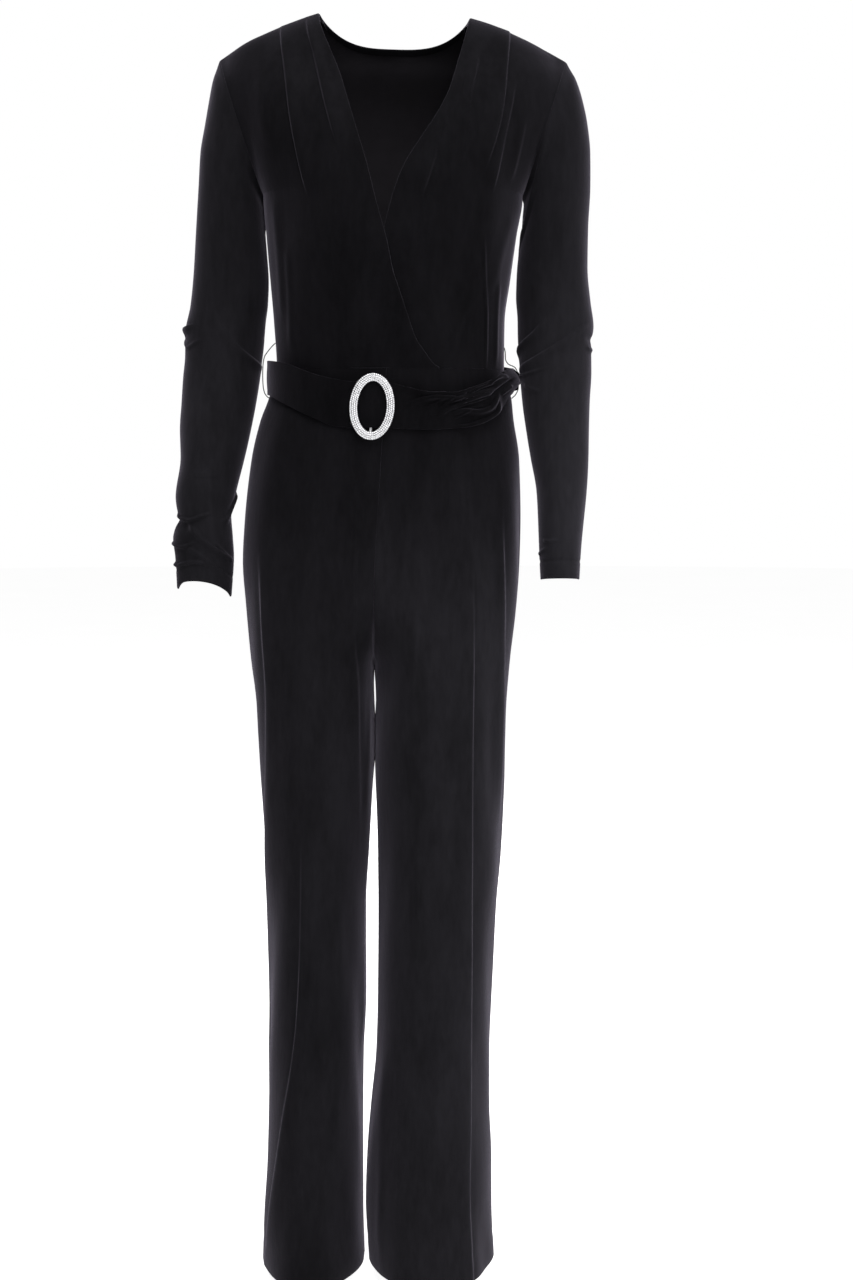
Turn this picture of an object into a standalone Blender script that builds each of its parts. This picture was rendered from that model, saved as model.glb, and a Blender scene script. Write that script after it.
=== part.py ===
"""Wrap-front velvet jumpsuit, worn form, built from its sewn pieces.

Frame: metres, +Z up, the wearer faces -Y, +X is the wearer's left.
The origin lies between the two neck points, where the shoulders carry the garment.
"""
import math
from collections import namedtuple

import bmesh
import bpy
from mathutils import Vector

COLLECTION = "wrap_jumpsuit"

# ---------------------------------------------------------------- driving sizes
WALL = 0.0016            # velvet, pile included
BELT_WALL = 0.0018       # belt strip, sewn double
SEAM_GAP = 0.0006        # between the middles of two edges that meet at a seam
SHOULDER_GAP = 0.0016    # the same, where the cloth rolls over the shoulder
LAYER_STEP = 0.0015      # each wrap layer lies this far off the common chest form
OVERLAP_RIGHT = (-0.110, -0.060)    # the step grows between these places, from right to left,
OVERLAP_LEFT = (0.075, 0.105)       # and fades between these
OVERLAP_TOP = (-0.060, -0.020)      # and between these heights

RIGHT = -1               # the wearer's right, at -X
LEFT = 1
FRONT = -1               # towards -Y
BACK = 1

WAIST = -0.405
HEM = -1.470
CHEST = -0.195           # the front edges cross the row of the underarms here
SHOULDER_ROLL = 0.045    # height over which the cloth rolls over the shoulder
BACK_NECK_DROP = 0.028
BACK_NECK_CURVE = 3.2    # the higher, the squarer the back neck
ARMHOLE_DEPTH = 0.052    # half the depth of an armhole, front to back
ARMHOLE_GAP = 0.0014     # from the bodice edge to the sleeve edge
UNDERARM_GAP = 0.0024
UNDERARM_SHARPNESS = 5

CROTCH = -0.742
RISE_TURN = {FRONT: -0.620, BACK: -0.600}   # where the centre seams start to curve under

BODICE_COLUMNS = 16
SIDE_ROWS = 7            # rows from the waist to the underarm
ARMHOLE_ROWS = 9         # rows from the underarm to the shoulder point
NECK_COLUMNS = 8         # columns of the back between its neck points
SHOULDER_COLUMNS = 5
INNER_SINE = 0.95        # keeps the columns of a front from crowding at its inner edge
LEG_COLUMNS = 6          # columns on each side of a leg's middle
RISE_ROWS = 6
CURVE_ROWS = 5
LEG_ROWS = 12

Point = namedtuple("Point", "x z")
NECK_POINT = {RIGHT: Point(-0.085, 0.003), LEFT: Point(0.089, -0.002)}
SHOULDER_POINT = {RIGHT: Point(-0.200, -0.050), LEFT: Point(0.200, -0.052)}
SHOULDER_BOW = {RIGHT: 0.0055, LEFT: 0.0035}    # the shoulder seams arch up in their middle
UNDERARM = {RIGHT: Point(-0.150, -0.205), LEFT: Point(0.150, -0.205)}

# ---------------------------------------------------------------- body sections
# One row for each height: the two side seams and the depth of front and back.
Torso = namedtuple("Torso", "z right left front back")
TORSO = (
    Torso(0.010, -0.150, 0.150, -0.045, 0.045),
    Torso(-0.050, -0.150, 0.150, -0.070, 0.066),
    Torso(-0.100, -0.150, 0.150, -0.096, 0.086),
    Torso(-0.150, -0.150, 0.150, -0.114, 0.096),
    Torso(-0.205, -0.150, 0.150, -0.126, 0.100),
    Torso(-0.250, -0.1465, 0.143, -0.126, 0.098),
    Torso(-0.300, -0.143, 0.136, -0.118, 0.091),
    Torso(-0.350, -0.139, 0.1295, -0.108, 0.083),
    Torso(-0.405, -0.136, 0.129, -0.101, 0.078),
    Torso(-0.440, -0.146, 0.138, -0.102, 0.084),
    Torso(-0.463, -0.155, 0.140, -0.104, 0.092),
    Torso(-0.510, -0.166, 0.147, -0.108, 0.107),
    Torso(-0.580, -0.174, 0.149, -0.112, 0.122),
    Torso(-0.628, -0.176, 0.148, -0.113, 0.125),
    Torso(-0.675, -0.173, 0.145, -0.114, 0.122),
    Torso(-0.742, -0.168, 0.137, -0.115, 0.114),
    Torso(-0.794, -0.162, 0.133, -0.114, 0.109),
)
BODY_ROUNDNESS = 2.3
ARMHOLE_BLEND = 3.0      # the higher, the closer to the armhole the body form turns into it

# One row for each height of the legs: outer and inner limit of each, and the depths.
Legs = namedtuple("Legs", "z right_outer right_inner left_inner left_outer front back")
LEGS = (
    Legs(-0.400, -0.136, -0.0062, -0.0058, 0.129, -0.100, 0.078),
    Legs(-0.500, -0.164, -0.0122, -0.0118, 0.146, -0.107, 0.104),
    Legs(-0.620, -0.176, -0.0202, -0.0188, 0.148, -0.113, 0.124),
    Legs(-0.675, -0.173, -0.0232, -0.0204, 0.145, -0.114, 0.120),
    Legs(-0.742, -0.168, -0.0255, -0.0215, 0.137, -0.115, 0.114),
    Legs(-0.794, -0.162, -0.0255, -0.0215, 0.133, -0.114, 0.109),
    Legs(-0.890, -0.157, -0.0255, -0.0215, 0.130, -0.111, 0.104),
    Legs(-0.975, -0.152, -0.0305, -0.0185, 0.127, -0.108, 0.102),
    Legs(-1.036, -0.150, -0.0340, -0.0185, 0.122, -0.107, 0.102),
    Legs(-1.158, -0.150, -0.0345, -0.0195, 0.116, -0.108, 0.104),
    Legs(-1.220, -0.151, -0.0375, -0.0215, 0.114, -0.110, 0.107),
    Legs(-1.281, -0.151, -0.0385, -0.0275, 0.114, -0.112, 0.110),
    Legs(-1.344, -0.152, -0.0385, -0.0325, 0.116, -0.114, 0.114),
    Legs(-1.406, -0.155, -0.0385, -0.0345, 0.116, -0.117, 0.118),
    Legs(-1.470, -0.157, -0.0370, -0.0305, 0.119, -0.120, 0.122),
)
LEG_ROUNDNESS = 2.2
LEG_FORM = (-0.950, -0.540)     # between these the hip form gives way to the two leg forms
RISE_STEEPNESS = (0.8, 0.5)     # how sharply the inner edge turns under: at the turn, at the crotch
FOLD_ROOT = 0.040               # folds grow from nothing over this depth off the side seams

# ---------------------------------------------------------------- front edges and pleats
Edge = namedtuple("Edge", "z x")
WRAP_EDGE = {
    RIGHT: (
        Edge(0.003, -0.0850), Edge(-0.014, -0.0818), Edge(-0.048, -0.0690), Edge(-0.072, -0.0595),
        Edge(-0.131, -0.0420), Edge(-0.177, -0.0283), Edge(-0.221, -0.0172), Edge(-0.265, -0.0051),
        Edge(-0.297, 0.0014), Edge(-0.320, 0.0091), Edge(-0.347, 0.0180), Edge(-0.372, 0.0270),
        Edge(-0.387, 0.0370), Edge(-0.400, 0.0470), Edge(-0.405, 0.0540),
    ),
    LEFT: (
        Edge(-0.002, 0.0890), Edge(-0.035, 0.0812), Edge(-0.060, 0.0742), Edge(-0.092, 0.0650),
        Edge(-0.119, 0.0526), Edge(-0.154, 0.0304), Edge(-0.177, 0.0160), Edge(-0.199, 0.0061),
        Edge(-0.232, -0.0039), Edge(-0.250, -0.0084), Edge(-0.300, -0.0225), Edge(-0.350, -0.0410),
        Edge(-0.405, -0.0620),
    ),
}

# Each fold is a soft ridge along a straight line down the panel.
Fold = namedtuple("Fold", "top_x top_z low_x low_z width rise")
FOLD_START = (-0.12, 0.10)      # shares of the line's length over which a fold rises
FOLD_END = (0.70, 1.10)         # and sinks away again
BODICE_FOLDS = {
    RIGHT: (
        Fold(-0.128, -0.010, -0.106, -0.165, 0.008, 0.0030),
        Fold(-0.096, -0.008, -0.065, -0.150, 0.008, 0.0030),
    ),
    LEFT: (
        Fold(0.074, -0.060, 0.042, -0.200, 0.007, 0.0030),
        Fold(0.096, -0.012, 0.084, -0.145, 0.007, 0.0025),
        Fold(0.133, -0.014, 0.109, -0.170, 0.008, 0.0035),
        Fold(0.138, -0.095, 0.116, -0.190, 0.007, 0.0020),
        Fold(0.148, -0.215, 0.112, -0.330, 0.010, 0.0030),
    ),
}
LEG_FOLDS = {
    RIGHT: (
        Fold(-0.045, -0.500, -0.038, -0.930, 0.012, 0.0030),
        Fold(-0.110, -0.930, -0.140, -1.400, 0.014, 0.0050),
    ),
    LEFT: (
        Fold(0.094, -0.600, 0.094, -1.200, 0.013, 0.0050),
    ),
}

# ---------------------------------------------------------------- sleeves
# One row for each ring below the armhole: its outer and inner point, and its front and back.
Ring = namedtuple("Ring", "outer_x outer_z inner_x inner_z front back")
SLEEVES = {
    RIGHT: (
        Ring(-0.2085, -0.072, -0.1522, -0.214, -0.0530, 0.0525),
        Ring(-0.2140, -0.098, -0.1510, -0.226, -0.0545, 0.0530),
        Ring(-0.2185, -0.122, -0.1502, -0.240, -0.0545, 0.0530),
        Ring(-0.2240, -0.155, -0.1490, -0.257, -0.0540, 0.0530),
        Ring(-0.2260, -0.195, -0.1477, -0.277, -0.0525, 0.0530),
        Ring(-0.2285, -0.240, -0.1466, -0.300, -0.0505, 0.0530),
        Ring(-0.2315, -0.290, -0.1478, -0.327, -0.0485, 0.0530),
        Ring(-0.2360, -0.330, -0.1510, -0.352, -0.0465, 0.0540),
        Ring(-0.2425, -0.362, -0.1528, -0.376, -0.0460, 0.0540),
        Ring(-0.2425, -0.388, -0.1550, -0.398, -0.0470, 0.0520),
        Ring(-0.2445, -0.412, -0.1572, -0.420, -0.0490, 0.0490),
        Ring(-0.2465, -0.442, -0.1615, -0.447, -0.0520, 0.0440),
        Ring(-0.2490, -0.476, -0.1680, -0.478, -0.0560, 0.0370),
        Ring(-0.2485, -0.506, -0.1750, -0.508, -0.0590, 0.0290),
        Ring(-0.2535, -0.552, -0.1860, -0.552, -0.0630, 0.0160),
        Ring(-0.2510, -0.576, -0.1905, -0.574, -0.0640, 0.0080),
        Ring(-0.2560, -0.600, -0.1885, -0.598, -0.0670, 0.0020),
        Ring(-0.2535, -0.622, -0.1865, -0.624, -0.0670, -0.0060),
        Ring(-0.2513, -0.654, -0.1884, -0.663, -0.0660, -0.0120),
    ),
    LEFT: (
        Ring(0.2110, -0.072, 0.1522, -0.214, -0.0530, 0.0525),
        Ring(0.2190, -0.098, 0.1510, -0.226, -0.0545, 0.0530),
        Ring(0.2240, -0.122, 0.1500, -0.240, -0.0545, 0.0530),
        Ring(0.2275, -0.155, 0.1480, -0.255, -0.0540, 0.0530),
        Ring(0.2280, -0.195, 0.1458, -0.272, -0.0525, 0.0530),
        Ring(0.2265, -0.240, 0.1440, -0.295, -0.0505, 0.0530),
        Ring(0.2270, -0.285, 0.1435, -0.320, -0.0485, 0.0530),
        Ring(0.2310, -0.325, 0.1458, -0.345, -0.0465, 0.0540),
        Ring(0.2345, -0.354, 0.1465, -0.368, -0.0460, 0.0540),
        Ring(0.2315, -0.378, 0.1482, -0.390, -0.0470, 0.0520),
        Ring(0.2315, -0.405, 0.1495, -0.414, -0.0490, 0.0490),
        Ring(0.2295, -0.440, 0.1520, -0.445, -0.0520, 0.0440),
        Ring(0.2280, -0.475, 0.1560, -0.477, -0.0570, 0.0370),
        Ring(0.2265, -0.508, 0.1605, -0.508, -0.0620, 0.0290),
        Ring(0.2240, -0.545, 0.1665, -0.545, -0.0670, 0.0190),
        Ring(0.2210, -0.580, 0.1685, -0.580, -0.0710, 0.0090),
        Ring(0.2185, -0.612, 0.1705, -0.612, -0.0740, 0.0010),
        Ring(0.2165, -0.648, 0.1728, -0.648, -0.0750, -0.0050),
    ),
}
CUFF_ARCH = {RIGHT: 0.010, LEFT: 0.002}    # the front of the cuff rides up by this much
ARCH_REACH = 0.060

# ---------------------------------------------------------------- belt and buckle
Band = namedtuple("Band", "x top low")
BELT_FRONT = (
    Band(-0.1480, -0.3945, -0.4340), Band(-0.1250, -0.3980, -0.4440), Band(-0.0850, -0.4110, -0.4610),
    Band(-0.0600, -0.4180, -0.4700), Band(-0.0400, -0.4220, -0.4722), Band(-0.0225, -0.4225, -0.4720),
    Band(-0.0050, -0.4235, -0.4722), Band(0.0200, -0.4275, -0.4735), Band(0.0460, -0.4320, -0.4740),
    Band(0.0650, -0.4320, -0.4730), Band(0.0880, -0.4260, -0.4700), Band(0.1050, -0.4190, -0.4640),
    Band(0.1190, -0.4110, -0.4540), Band(0.1320, -0.4040, -0.4370), Band(0.1400, -0.4030, -0.4310),
)
BACK_BELT_TOP = -0.392
BACK_BELT_LOW = -0.438
BELT_CLEARANCE = 0.0012
BELT_LEVEL = -0.450             # the columns of the belt are spread over the body at this height
GATHER_START_X = 0.002
GATHER_FULL_X = 0.075
GATHER_DEPTH = 0.0034
GATHER_COUNT = 3
GATHER_SLANT = 14.0             # folds crossed by a level line, per metre
SIDE_ANGLE = math.radians(88.8)  # beyond this the outline faces straight to the side
BACK_RISE = (0.0, 0.35)         # shares of the back over which the strip leaves its left end's height
BACK_FALL = (0.65, 1.0)         # and comes to its right end's
GATHER_REACH = 0.35             # share of the back stretch that the gathers run on into
BELT_ROWS = 15
BELT_COLUMNS = 28
BELT_END_GAP = 0.0006

BUCKLE_CENTRE = Vector((-0.0225, -0.1128, -0.4484))
BUCKLE_HALF_WIDTH = 0.0255
BUCKLE_HALF_HEIGHT = 0.0376
BUCKLE_BAND = 0.0092
BUCKLE_THICKNESS = 0.0040
BUCKLE_TILT = math.radians(4.0)
BUCKLE_POINTS = 44
SECTION_POINTS = 10
BAR_RADIUS = 0.0014
BAR_CLEARANCE = 0.0004
BAR_SETBACK = 0.0048            # from the middle of the ring to the middle of the bar
BAR_STAND = 2 * BAR_RADIUS + BAR_CLEARANCE      # the belt swells out here to pass over the bar
BAR_SWELL = 0.019
BAR_BEND = 0.0268               # half the straight length of the bar
BAR_END = 0.0322

THREAD_RADIUS = 0.0006
Knot = namedtuple("Knot", "x y z")
THREAD_LOOPS = {
    RIGHT: (
        Knot(-0.1400, -0.0010, -0.3715), Knot(-0.1440, -0.0015, -0.3790), Knot(-0.1490, -0.0015, -0.3880),
        Knot(-0.1525, -0.0015, -0.3990), Knot(-0.1535, -0.0015, -0.4130), Knot(-0.1525, -0.0015, -0.4270),
        Knot(-0.1510, -0.0015, -0.4370), Knot(-0.1494, -0.0010, -0.4440),
    ),
    LEFT: (
        Knot(0.1313, -0.0010, -0.3800), Knot(0.1345, -0.0015, -0.3870), Knot(0.1400, -0.0015, -0.3940),
        Knot(0.1452, -0.0015, -0.4020), Knot(0.1466, -0.0015, -0.4140), Knot(0.1462, -0.0015, -0.4260),
        Knot(0.1440, -0.0015, -0.4360), Knot(0.1418, -0.0010, -0.4430),
    ),
}
THREAD_STEPS = 3

VELVET = (0.010, 0.009, 0.013, 1.0)
SILVER = (0.80, 0.80, 0.82, 1.0)
VELVET_ROUGHNESS = 0.85
SILVER_ROUGHNESS = 0.2
MERGE_DISTANCE = 0.00001        # joins the two edges of a closed tube
TUBE_RESOLUTION = 2


# ---------------------------------------------------------------- curves through tables
def curve_slopes(keys, values):
    """Slopes of a smooth curve through points that never overshoots them."""
    pairs = list(zip(keys, values))
    rates = [(v1 - v0) / (k1 - k0) for (k0, v0), (k1, v1) in zip(pairs, pairs[1:])]
    slopes = [rates[0]]
    for before, after in zip(rates, rates[1:]):
        slopes.append(0.0 if before * after <= 0 else 2 * before * after / (before + after))
    slopes.append(rates[-1])
    return slopes


def smooth_value(keys, values, at):
    """Value of a smooth curve through rising keys, level beyond its ends."""
    if at <= keys[0]:
        return values[0]
    if at >= keys[-1]:
        return values[-1]
    place = max(i for i, key in enumerate(keys) if key <= at)
    slopes = curve_slopes(keys, values)
    span = keys[place + 1] - keys[place]
    f = (at - keys[place]) / span
    start = (1 + 2 * f) * (1 - f) ** 2 * values[place] + f * (1 - f) ** 2 * span * slopes[place]
    end = f * f * (3 - 2 * f) * values[place + 1] + f * f * (f - 1) * span * slopes[place + 1]
    return start + end


def table_row(rows, key, at):
    """One row of a table, read between its rows."""
    ordered = sorted(rows, key=lambda row: getattr(row, key))
    keys = [getattr(row, key) for row in ordered]
    return type(rows[0])(*(smooth_value(keys, column, at) for column in zip(*ordered)))


def ramp(low, high, at):
    """0 below low, 1 above high, smooth between."""
    f = min(1.0, max(0.0, (at - low) / (high - low)))
    return f * f * (3 - 2 * f)


def mix(a, b, f):
    return a + (b - a) * f


def rounded(fractions):
    """Shares of a length that lie closer together near both of its ends."""
    return [(1 - math.cos(math.pi * i / fractions)) / 2 for i in range(1, fractions + 1)]


# ---------------------------------------------------------------- the body form
def side_seam_x(side, z):
    """Outer limit of the bodice: its side seam, and above the underarm its armhole."""
    low = UNDERARM[side]
    high = SHOULDER_POINT[side]
    if z > low.z:
        return mix(low.x, high.x, min(1.0, (z - low.z) / (high.z - low.z)))
    row = table_row(TORSO, "z", z)
    return row.right if side == RIGHT else row.left


def armhole_half_depth(side, z):
    low = UNDERARM[side].z
    high = SHOULDER_POINT[side].z
    level = (z - (low + high) / 2) / ((high - low) / 2)
    return ARMHOLE_DEPTH * math.sqrt(max(0.0, 1 - level * level))


def shoulder_line(x):
    """Height of the shoulder seam over x, level between the neck points."""
    left = NECK_POINT[LEFT]
    right = NECK_POINT[RIGHT]
    if right.x < x < left.x:
        return mix(right.z, left.z, (x - right.x) / (left.x - right.x))
    side = LEFT if x > 0 else RIGHT
    neck = NECK_POINT[side]
    point = SHOULDER_POINT[side]
    along = min(1.0, (x - neck.x) / (point.x - neck.x))
    return mix(neck.z, point.z, along) + shoulder_arch(side, along)


def shoulder_arch(side, along):
    """How far the shoulder seam lies above the straight line between its ends."""
    return SHOULDER_BOW[side] * 4 * along * (1 - along)


def body_depth(x, z, facing):
    """Y of the cloth in front of or behind the body, over x and z."""
    row = table_row(TORSO, "z", z)
    middle = (row.right + row.left) / 2
    side = RIGHT if x < middle else LEFT
    across = min(1.0, (x - middle) / (side_seam_x(side, z) - middle))
    edge = armhole_half_depth(side, z) if z > UNDERARM[side].z else 0.0
    full = -row.front if facing == FRONT else row.back
    form = full * (1 - across ** BODY_ROUNDNESS) ** (1 / BODY_ROUNDNESS)
    drop = min(1.0, max(0.0, (shoulder_line(x) - z) / SHOULDER_ROLL))
    roll = math.sqrt(1 - (1 - drop) ** 2)
    return facing * (form ** ARMHOLE_BLEND + edge ** ARMHOLE_BLEND) ** (1 / ARMHOLE_BLEND) * roll


def fold_rise(folds, x, z):
    """How far the folds lift the cloth at x and z."""
    total = 0.0
    for fold in folds:
        along = (fold.top_z - z) / (fold.top_z - fold.low_z)
        line = mix(fold.top_x, fold.low_x, along)
        fade = ramp(*FOLD_START, along) * (1 - ramp(*FOLD_END, along))
        total += fold.rise * fade * math.exp(-((x - line) / fold.width) ** 2)
    return total


# ---------------------------------------------------------------- bodice
def bodice_levels(side, inner_low, inner_middle, inner_high):
    """Heights of the panel's inner and outer edge, row by row."""
    levels = []
    for i in range(SIDE_ROWS + 1):
        share = i / SIDE_ROWS
        levels.append((mix(inner_low, inner_middle, share), mix(WAIST, UNDERARM[side].z, share)))
    for share in rounded(ARMHOLE_ROWS):
        outer = mix(UNDERARM[side].z, SHOULDER_POINT[side].z, share)
        levels.append((mix(inner_middle, inner_high, share), outer))
    return levels


def across_share(start_sine, end_sine, share):
    """Share of the width at a share of the girth, on a round section."""
    angle = mix(math.asin(start_sine), math.asin(end_sine), share)
    return (math.sin(angle) - start_sine) / (end_sine - start_sine)


def front_bodice_grid(side, columns):
    """Rows of points of one wrap front, from the waist up, inner edge to outer edge."""
    edge = WRAP_EDGE[side]
    neck = NECK_POINT[side]
    grid = []
    for inner_z, outer_z in bodice_levels(side, WAIST, CHEST, neck.z):
        inner_x = table_row(edge, "z", inner_z).x
        outer_x = side_seam_x(side, outer_z)
        row = table_row(TORSO, "z", inner_z)
        middle = (row.right + row.left) / 2
        sine = max(-INNER_SINE, min(INNER_SINE, (inner_x - middle) / (outer_x - middle)))
        up = max(0.0, (outer_z - UNDERARM[side].z) / (SHOULDER_POINT[side].z - UNDERARM[side].z))
        line = []
        for i in range(columns + 1):
            share = across_share(sine, 1.0, i / columns)
            x = mix(inner_x, outer_x, share)
            z = mix(inner_z, outer_z, share) + shoulder_arch(side, share) * up
            line.append(front_bodice_point(side, x, z))
        grid.append(line)
    return grid


def bodice_gap(x, z):
    """Half the gap between front and back: wider near the shoulder seams."""
    return mix(SHOULDER_GAP, SEAM_GAP, ramp(0.0, SHOULDER_ROLL, shoulder_line(x) - z)) / 2


def front_bodice_point(side, x, z):
    y = body_depth(x, z, FRONT) - bodice_gap(x, z)
    overlap = ramp(*OVERLAP_RIGHT, x) * (1 - ramp(*OVERLAP_LEFT, x)) * (1 - ramp(*OVERLAP_TOP, z))
    step = LAYER_STEP * overlap * (1 if side == RIGHT else -1)
    lift = (fold_rise(BODICE_FOLDS[side], x, z) + step) * ramp(0.0, FOLD_ROOT, abs(y))
    return Vector((x, y - lift, max(z, WAIST + SEAM_GAP / 2)))


def back_columns():
    """Places of the back's columns: -1 and 1 are the armholes, the neck points lie between."""
    neck_left = NECK_POINT[LEFT].x / SHOULDER_POINT[LEFT].x
    neck_right = NECK_POINT[RIGHT].x / SHOULDER_POINT[RIGHT].x
    places = []
    for i in range(SHOULDER_COLUMNS):
        places.append(-math.sin(mix(math.pi / 2, math.asin(neck_right), i / SHOULDER_COLUMNS)))
    for i in range(NECK_COLUMNS + 1):
        places.append(mix(-neck_right, neck_left, i / NECK_COLUMNS))
    for i in range(1, SHOULDER_COLUMNS + 1):
        places.append(math.sin(mix(math.asin(neck_left), math.pi / 2, i / SHOULDER_COLUMNS)))
    return places


def back_top_z(place):
    """Height of the back's top edge: the shoulder seams and the round neck."""
    side = LEFT if place > 0 else RIGHT
    x = abs(place) * SHOULDER_POINT[side].x
    inside = min(1.0, abs(x / NECK_POINT[side].x))
    return shoulder_line(x) - BACK_NECK_DROP * (1 - inside ** BACK_NECK_CURVE)


def back_bodice_grid():
    grid = []
    shares = [(i / SIDE_ROWS, 0.0) for i in range(SIDE_ROWS + 1)]
    shares += [(1.0, share) for share in rounded(ARMHOLE_ROWS)]
    for low_share, high_share in shares:
        line = []
        for place in back_columns():
            side = LEFT if place > 0 else RIGHT
            z = mix(mix(WAIST, UNDERARM[side].z, low_share), back_top_z(place), high_share)
            row = table_row(TORSO, "z", z)
            middle = (row.right + row.left) / 2
            x = mix(middle, side_seam_x(side, z), abs(place))
            y = body_depth(x, z, BACK) + bodice_gap(x, z)
            line.append(Vector((x, y, max(z, WAIST + SEAM_GAP / 2))))
        grid.append(line)
    return grid


# ---------------------------------------------------------------- sleeves
def armhole_ring(side):
    """Points of the armhole from the shoulder point over the front, underarm and back."""
    low = UNDERARM[side]
    high = SHOULDER_POINT[side]
    ring = []
    for i in range(2 * ARMHOLE_ROWS):
        turn = math.pi * i / ARMHOLE_ROWS
        z = mix(low.z, high.z, (1 + math.cos(turn)) / 2)
        x = side_seam_x(side, z)
        facing = FRONT if math.sin(turn) > 0 else BACK
        y = body_depth(x, z, facing)
        under = (1 - math.cos(turn)) / 2
        clear = mix(ARMHOLE_GAP, UNDERARM_GAP, under ** UNDERARM_SHARPNESS)
        ring.append(Vector((x + side * clear, y, z)))
    return ring


def sleeve_ring(side, ring, arch):
    centre = Vector(((ring.outer_x + ring.inner_x) / 2, (ring.front + ring.back) / 2,
                     (ring.outer_z + ring.inner_z) / 2))
    half = Vector(((ring.outer_x - ring.inner_x) / 2, 0, (ring.outer_z - ring.inner_z) / 2))
    depth = (ring.back - ring.front) / 2
    points = []
    for i in range(2 * ARMHOLE_ROWS):
        turn = math.pi * i / ARMHOLE_ROWS
        lift = arch * max(0.0, math.sin(turn))
        points.append(centre + half * math.cos(turn) + Vector((0, -depth * math.sin(turn), lift)))
    return points


def sleeve_grid(side):
    rings = SLEEVES[side]
    grid = [armhole_ring(side)]
    for ring in rings:
        near_end = 1 - min(1.0, (ring.outer_z - rings[-1].outer_z) / ARCH_REACH)
        grid.append(sleeve_ring(side, ring, CUFF_ARCH[side] * near_end))
    return grid


# ---------------------------------------------------------------- trousers
def leg_levels(facing):
    turn = RISE_TURN[facing]
    levels = [mix(WAIST, turn, i / RISE_ROWS) for i in range(RISE_ROWS + 1)]
    levels += [mix(turn, CROTCH, math.sin(math.pi / 2 * i / CURVE_ROWS)) for i in range(1, CURVE_ROWS + 1)]
    levels += [mix(CROTCH, HEM, i / LEG_ROWS) for i in range(1, LEG_ROWS + 1)]
    return levels


def leg_limits(side, z):
    """Inner and outer edge of one leg's panels; above the crotch the outer one is the body's side."""
    row = table_row(LEGS, "z", z)
    inner = row.right_inner if side == RIGHT else row.left_inner
    outer = row.right_outer if side == RIGHT else row.left_outer
    return inner, side_seam_x(side, z) if z > CROTCH else outer, row


def leg_point(side, facing, place, z):
    """Point of a trouser panel: place runs from -1 at the inner edge to 1 at the side seam."""
    inner, outer, row = leg_limits(side, z)
    across = math.sin(place * math.pi / 2)
    x = mix(inner, outer, (across + 1) / 2)
    full = -row.front if facing == FRONT else row.back
    hips = table_row(TORSO, "z", z)
    middle = (hips.right + hips.left) / 2

    def hip_form(at):
        share = min(1.0, max(0.0, (at - middle) / (outer - middle)))
        hip_full = -hips.front if facing == FRONT else hips.back
        return mix(full, hip_full, ramp(CROTCH, WAIST, z)) * (1 - share ** BODY_ROUNDNESS) ** (1 / BODY_ROUNDNESS)

    as_leg = 1 - ramp(*LEG_FORM, z)
    leg_form = full * (1 - max(0.0, across) ** LEG_ROUNDNESS) ** 0.5
    base = mix(hip_form(x), leg_form, as_leg)
    edge_full = mix(hip_form(inner), full, as_leg)
    turn = RISE_TURN[facing]
    under = min(1.0, max(0.0, (turn - z) / (turn - CROTCH)))
    edge = edge_full * math.sqrt(1 - under ** 2)
    dip = 1 - (1 - max(0.0, -across) ** LEG_ROUNDNESS) ** mix(*RISE_STEEPNESS, under)
    y = base + (edge - edge_full) * dip
    if facing == FRONT:
        y += fold_rise(LEG_FOLDS[side], x, z) * ramp(0.0, FOLD_ROOT, y)
    return Vector((x, facing * (y + SEAM_GAP / 2), min(z, WAIST - SEAM_GAP)))


def leg_grid(side, facing, columns):
    places = [i / columns for i in range(-columns, columns + 1)]
    return [[leg_point(side, facing, place, z) for place in places] for z in leg_levels(facing)]


# ---------------------------------------------------------------- belt
def belt_section(facing, angle, z):
    """Point of the body's outline at z, at an angle from -90 to 90 degrees of the front or back."""
    row = table_row(TORSO, "z", z)
    middle = (row.right + row.left) / 2
    side = LEFT if angle > 0 else RIGHT
    x = mix(middle, side_seam_x(side, z), abs(math.sin(angle)))
    return Vector((x, body_depth(x, z, facing), z))


def belt_point(facing, angle, z, stand):
    """Point that stands off the body's outline at z."""
    if abs(angle) > SIDE_ANGLE:
        normal = Vector((math.copysign(1.0, angle), 0, 0))
    else:
        step = math.pi / 2 - SIDE_ANGLE
        along = belt_section(facing, angle + step, z) - belt_section(facing, angle - step, z)
        normal = -facing * Vector((along.y, -along.x, 0)).normalized()
    return belt_section(facing, angle, z) + normal * stand


def gather(along, up):
    """How far the diagonal gathers lift the strip: up runs 0 to 1 across it."""
    wave = math.cos(2 * math.pi * (GATHER_COUNT * up - GATHER_SLANT * (along - GATHER_FULL_X)))
    return GATHER_DEPTH * (1 + wave) / 2


def belt_front_grid():
    """The flat stretch, the stretch behind the buckle and the gathered one, from right to left."""
    rest = WALL / 2 + BELT_WALL / 2 + BELT_CLEARANCE
    grid = []
    for i in range(BELT_COLUMNS + 1):
        angle = math.pi * (i / BELT_COLUMNS - 0.5)
        x = belt_section(FRONT, angle, BELT_LEVEL).x
        band = table_row(BELT_FRONT, "x", x)
        swell = BAR_STAND * math.exp(-((x - BUCKLE_CENTRE.x) / BAR_SWELL) ** 2)
        amount = ramp(GATHER_START_X, GATHER_FULL_X, x)
        line = []
        for j in range(BELT_ROWS + 1):
            up = j / BELT_ROWS
            point = belt_point(FRONT, angle, band.low, rest + swell + amount * gather(x, up))
            point.z = mix(band.low, band.top, up)
            point.y -= BELT_END_GAP / 2
            line.append(point)
        grid.append(line)
    return grid


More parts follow.
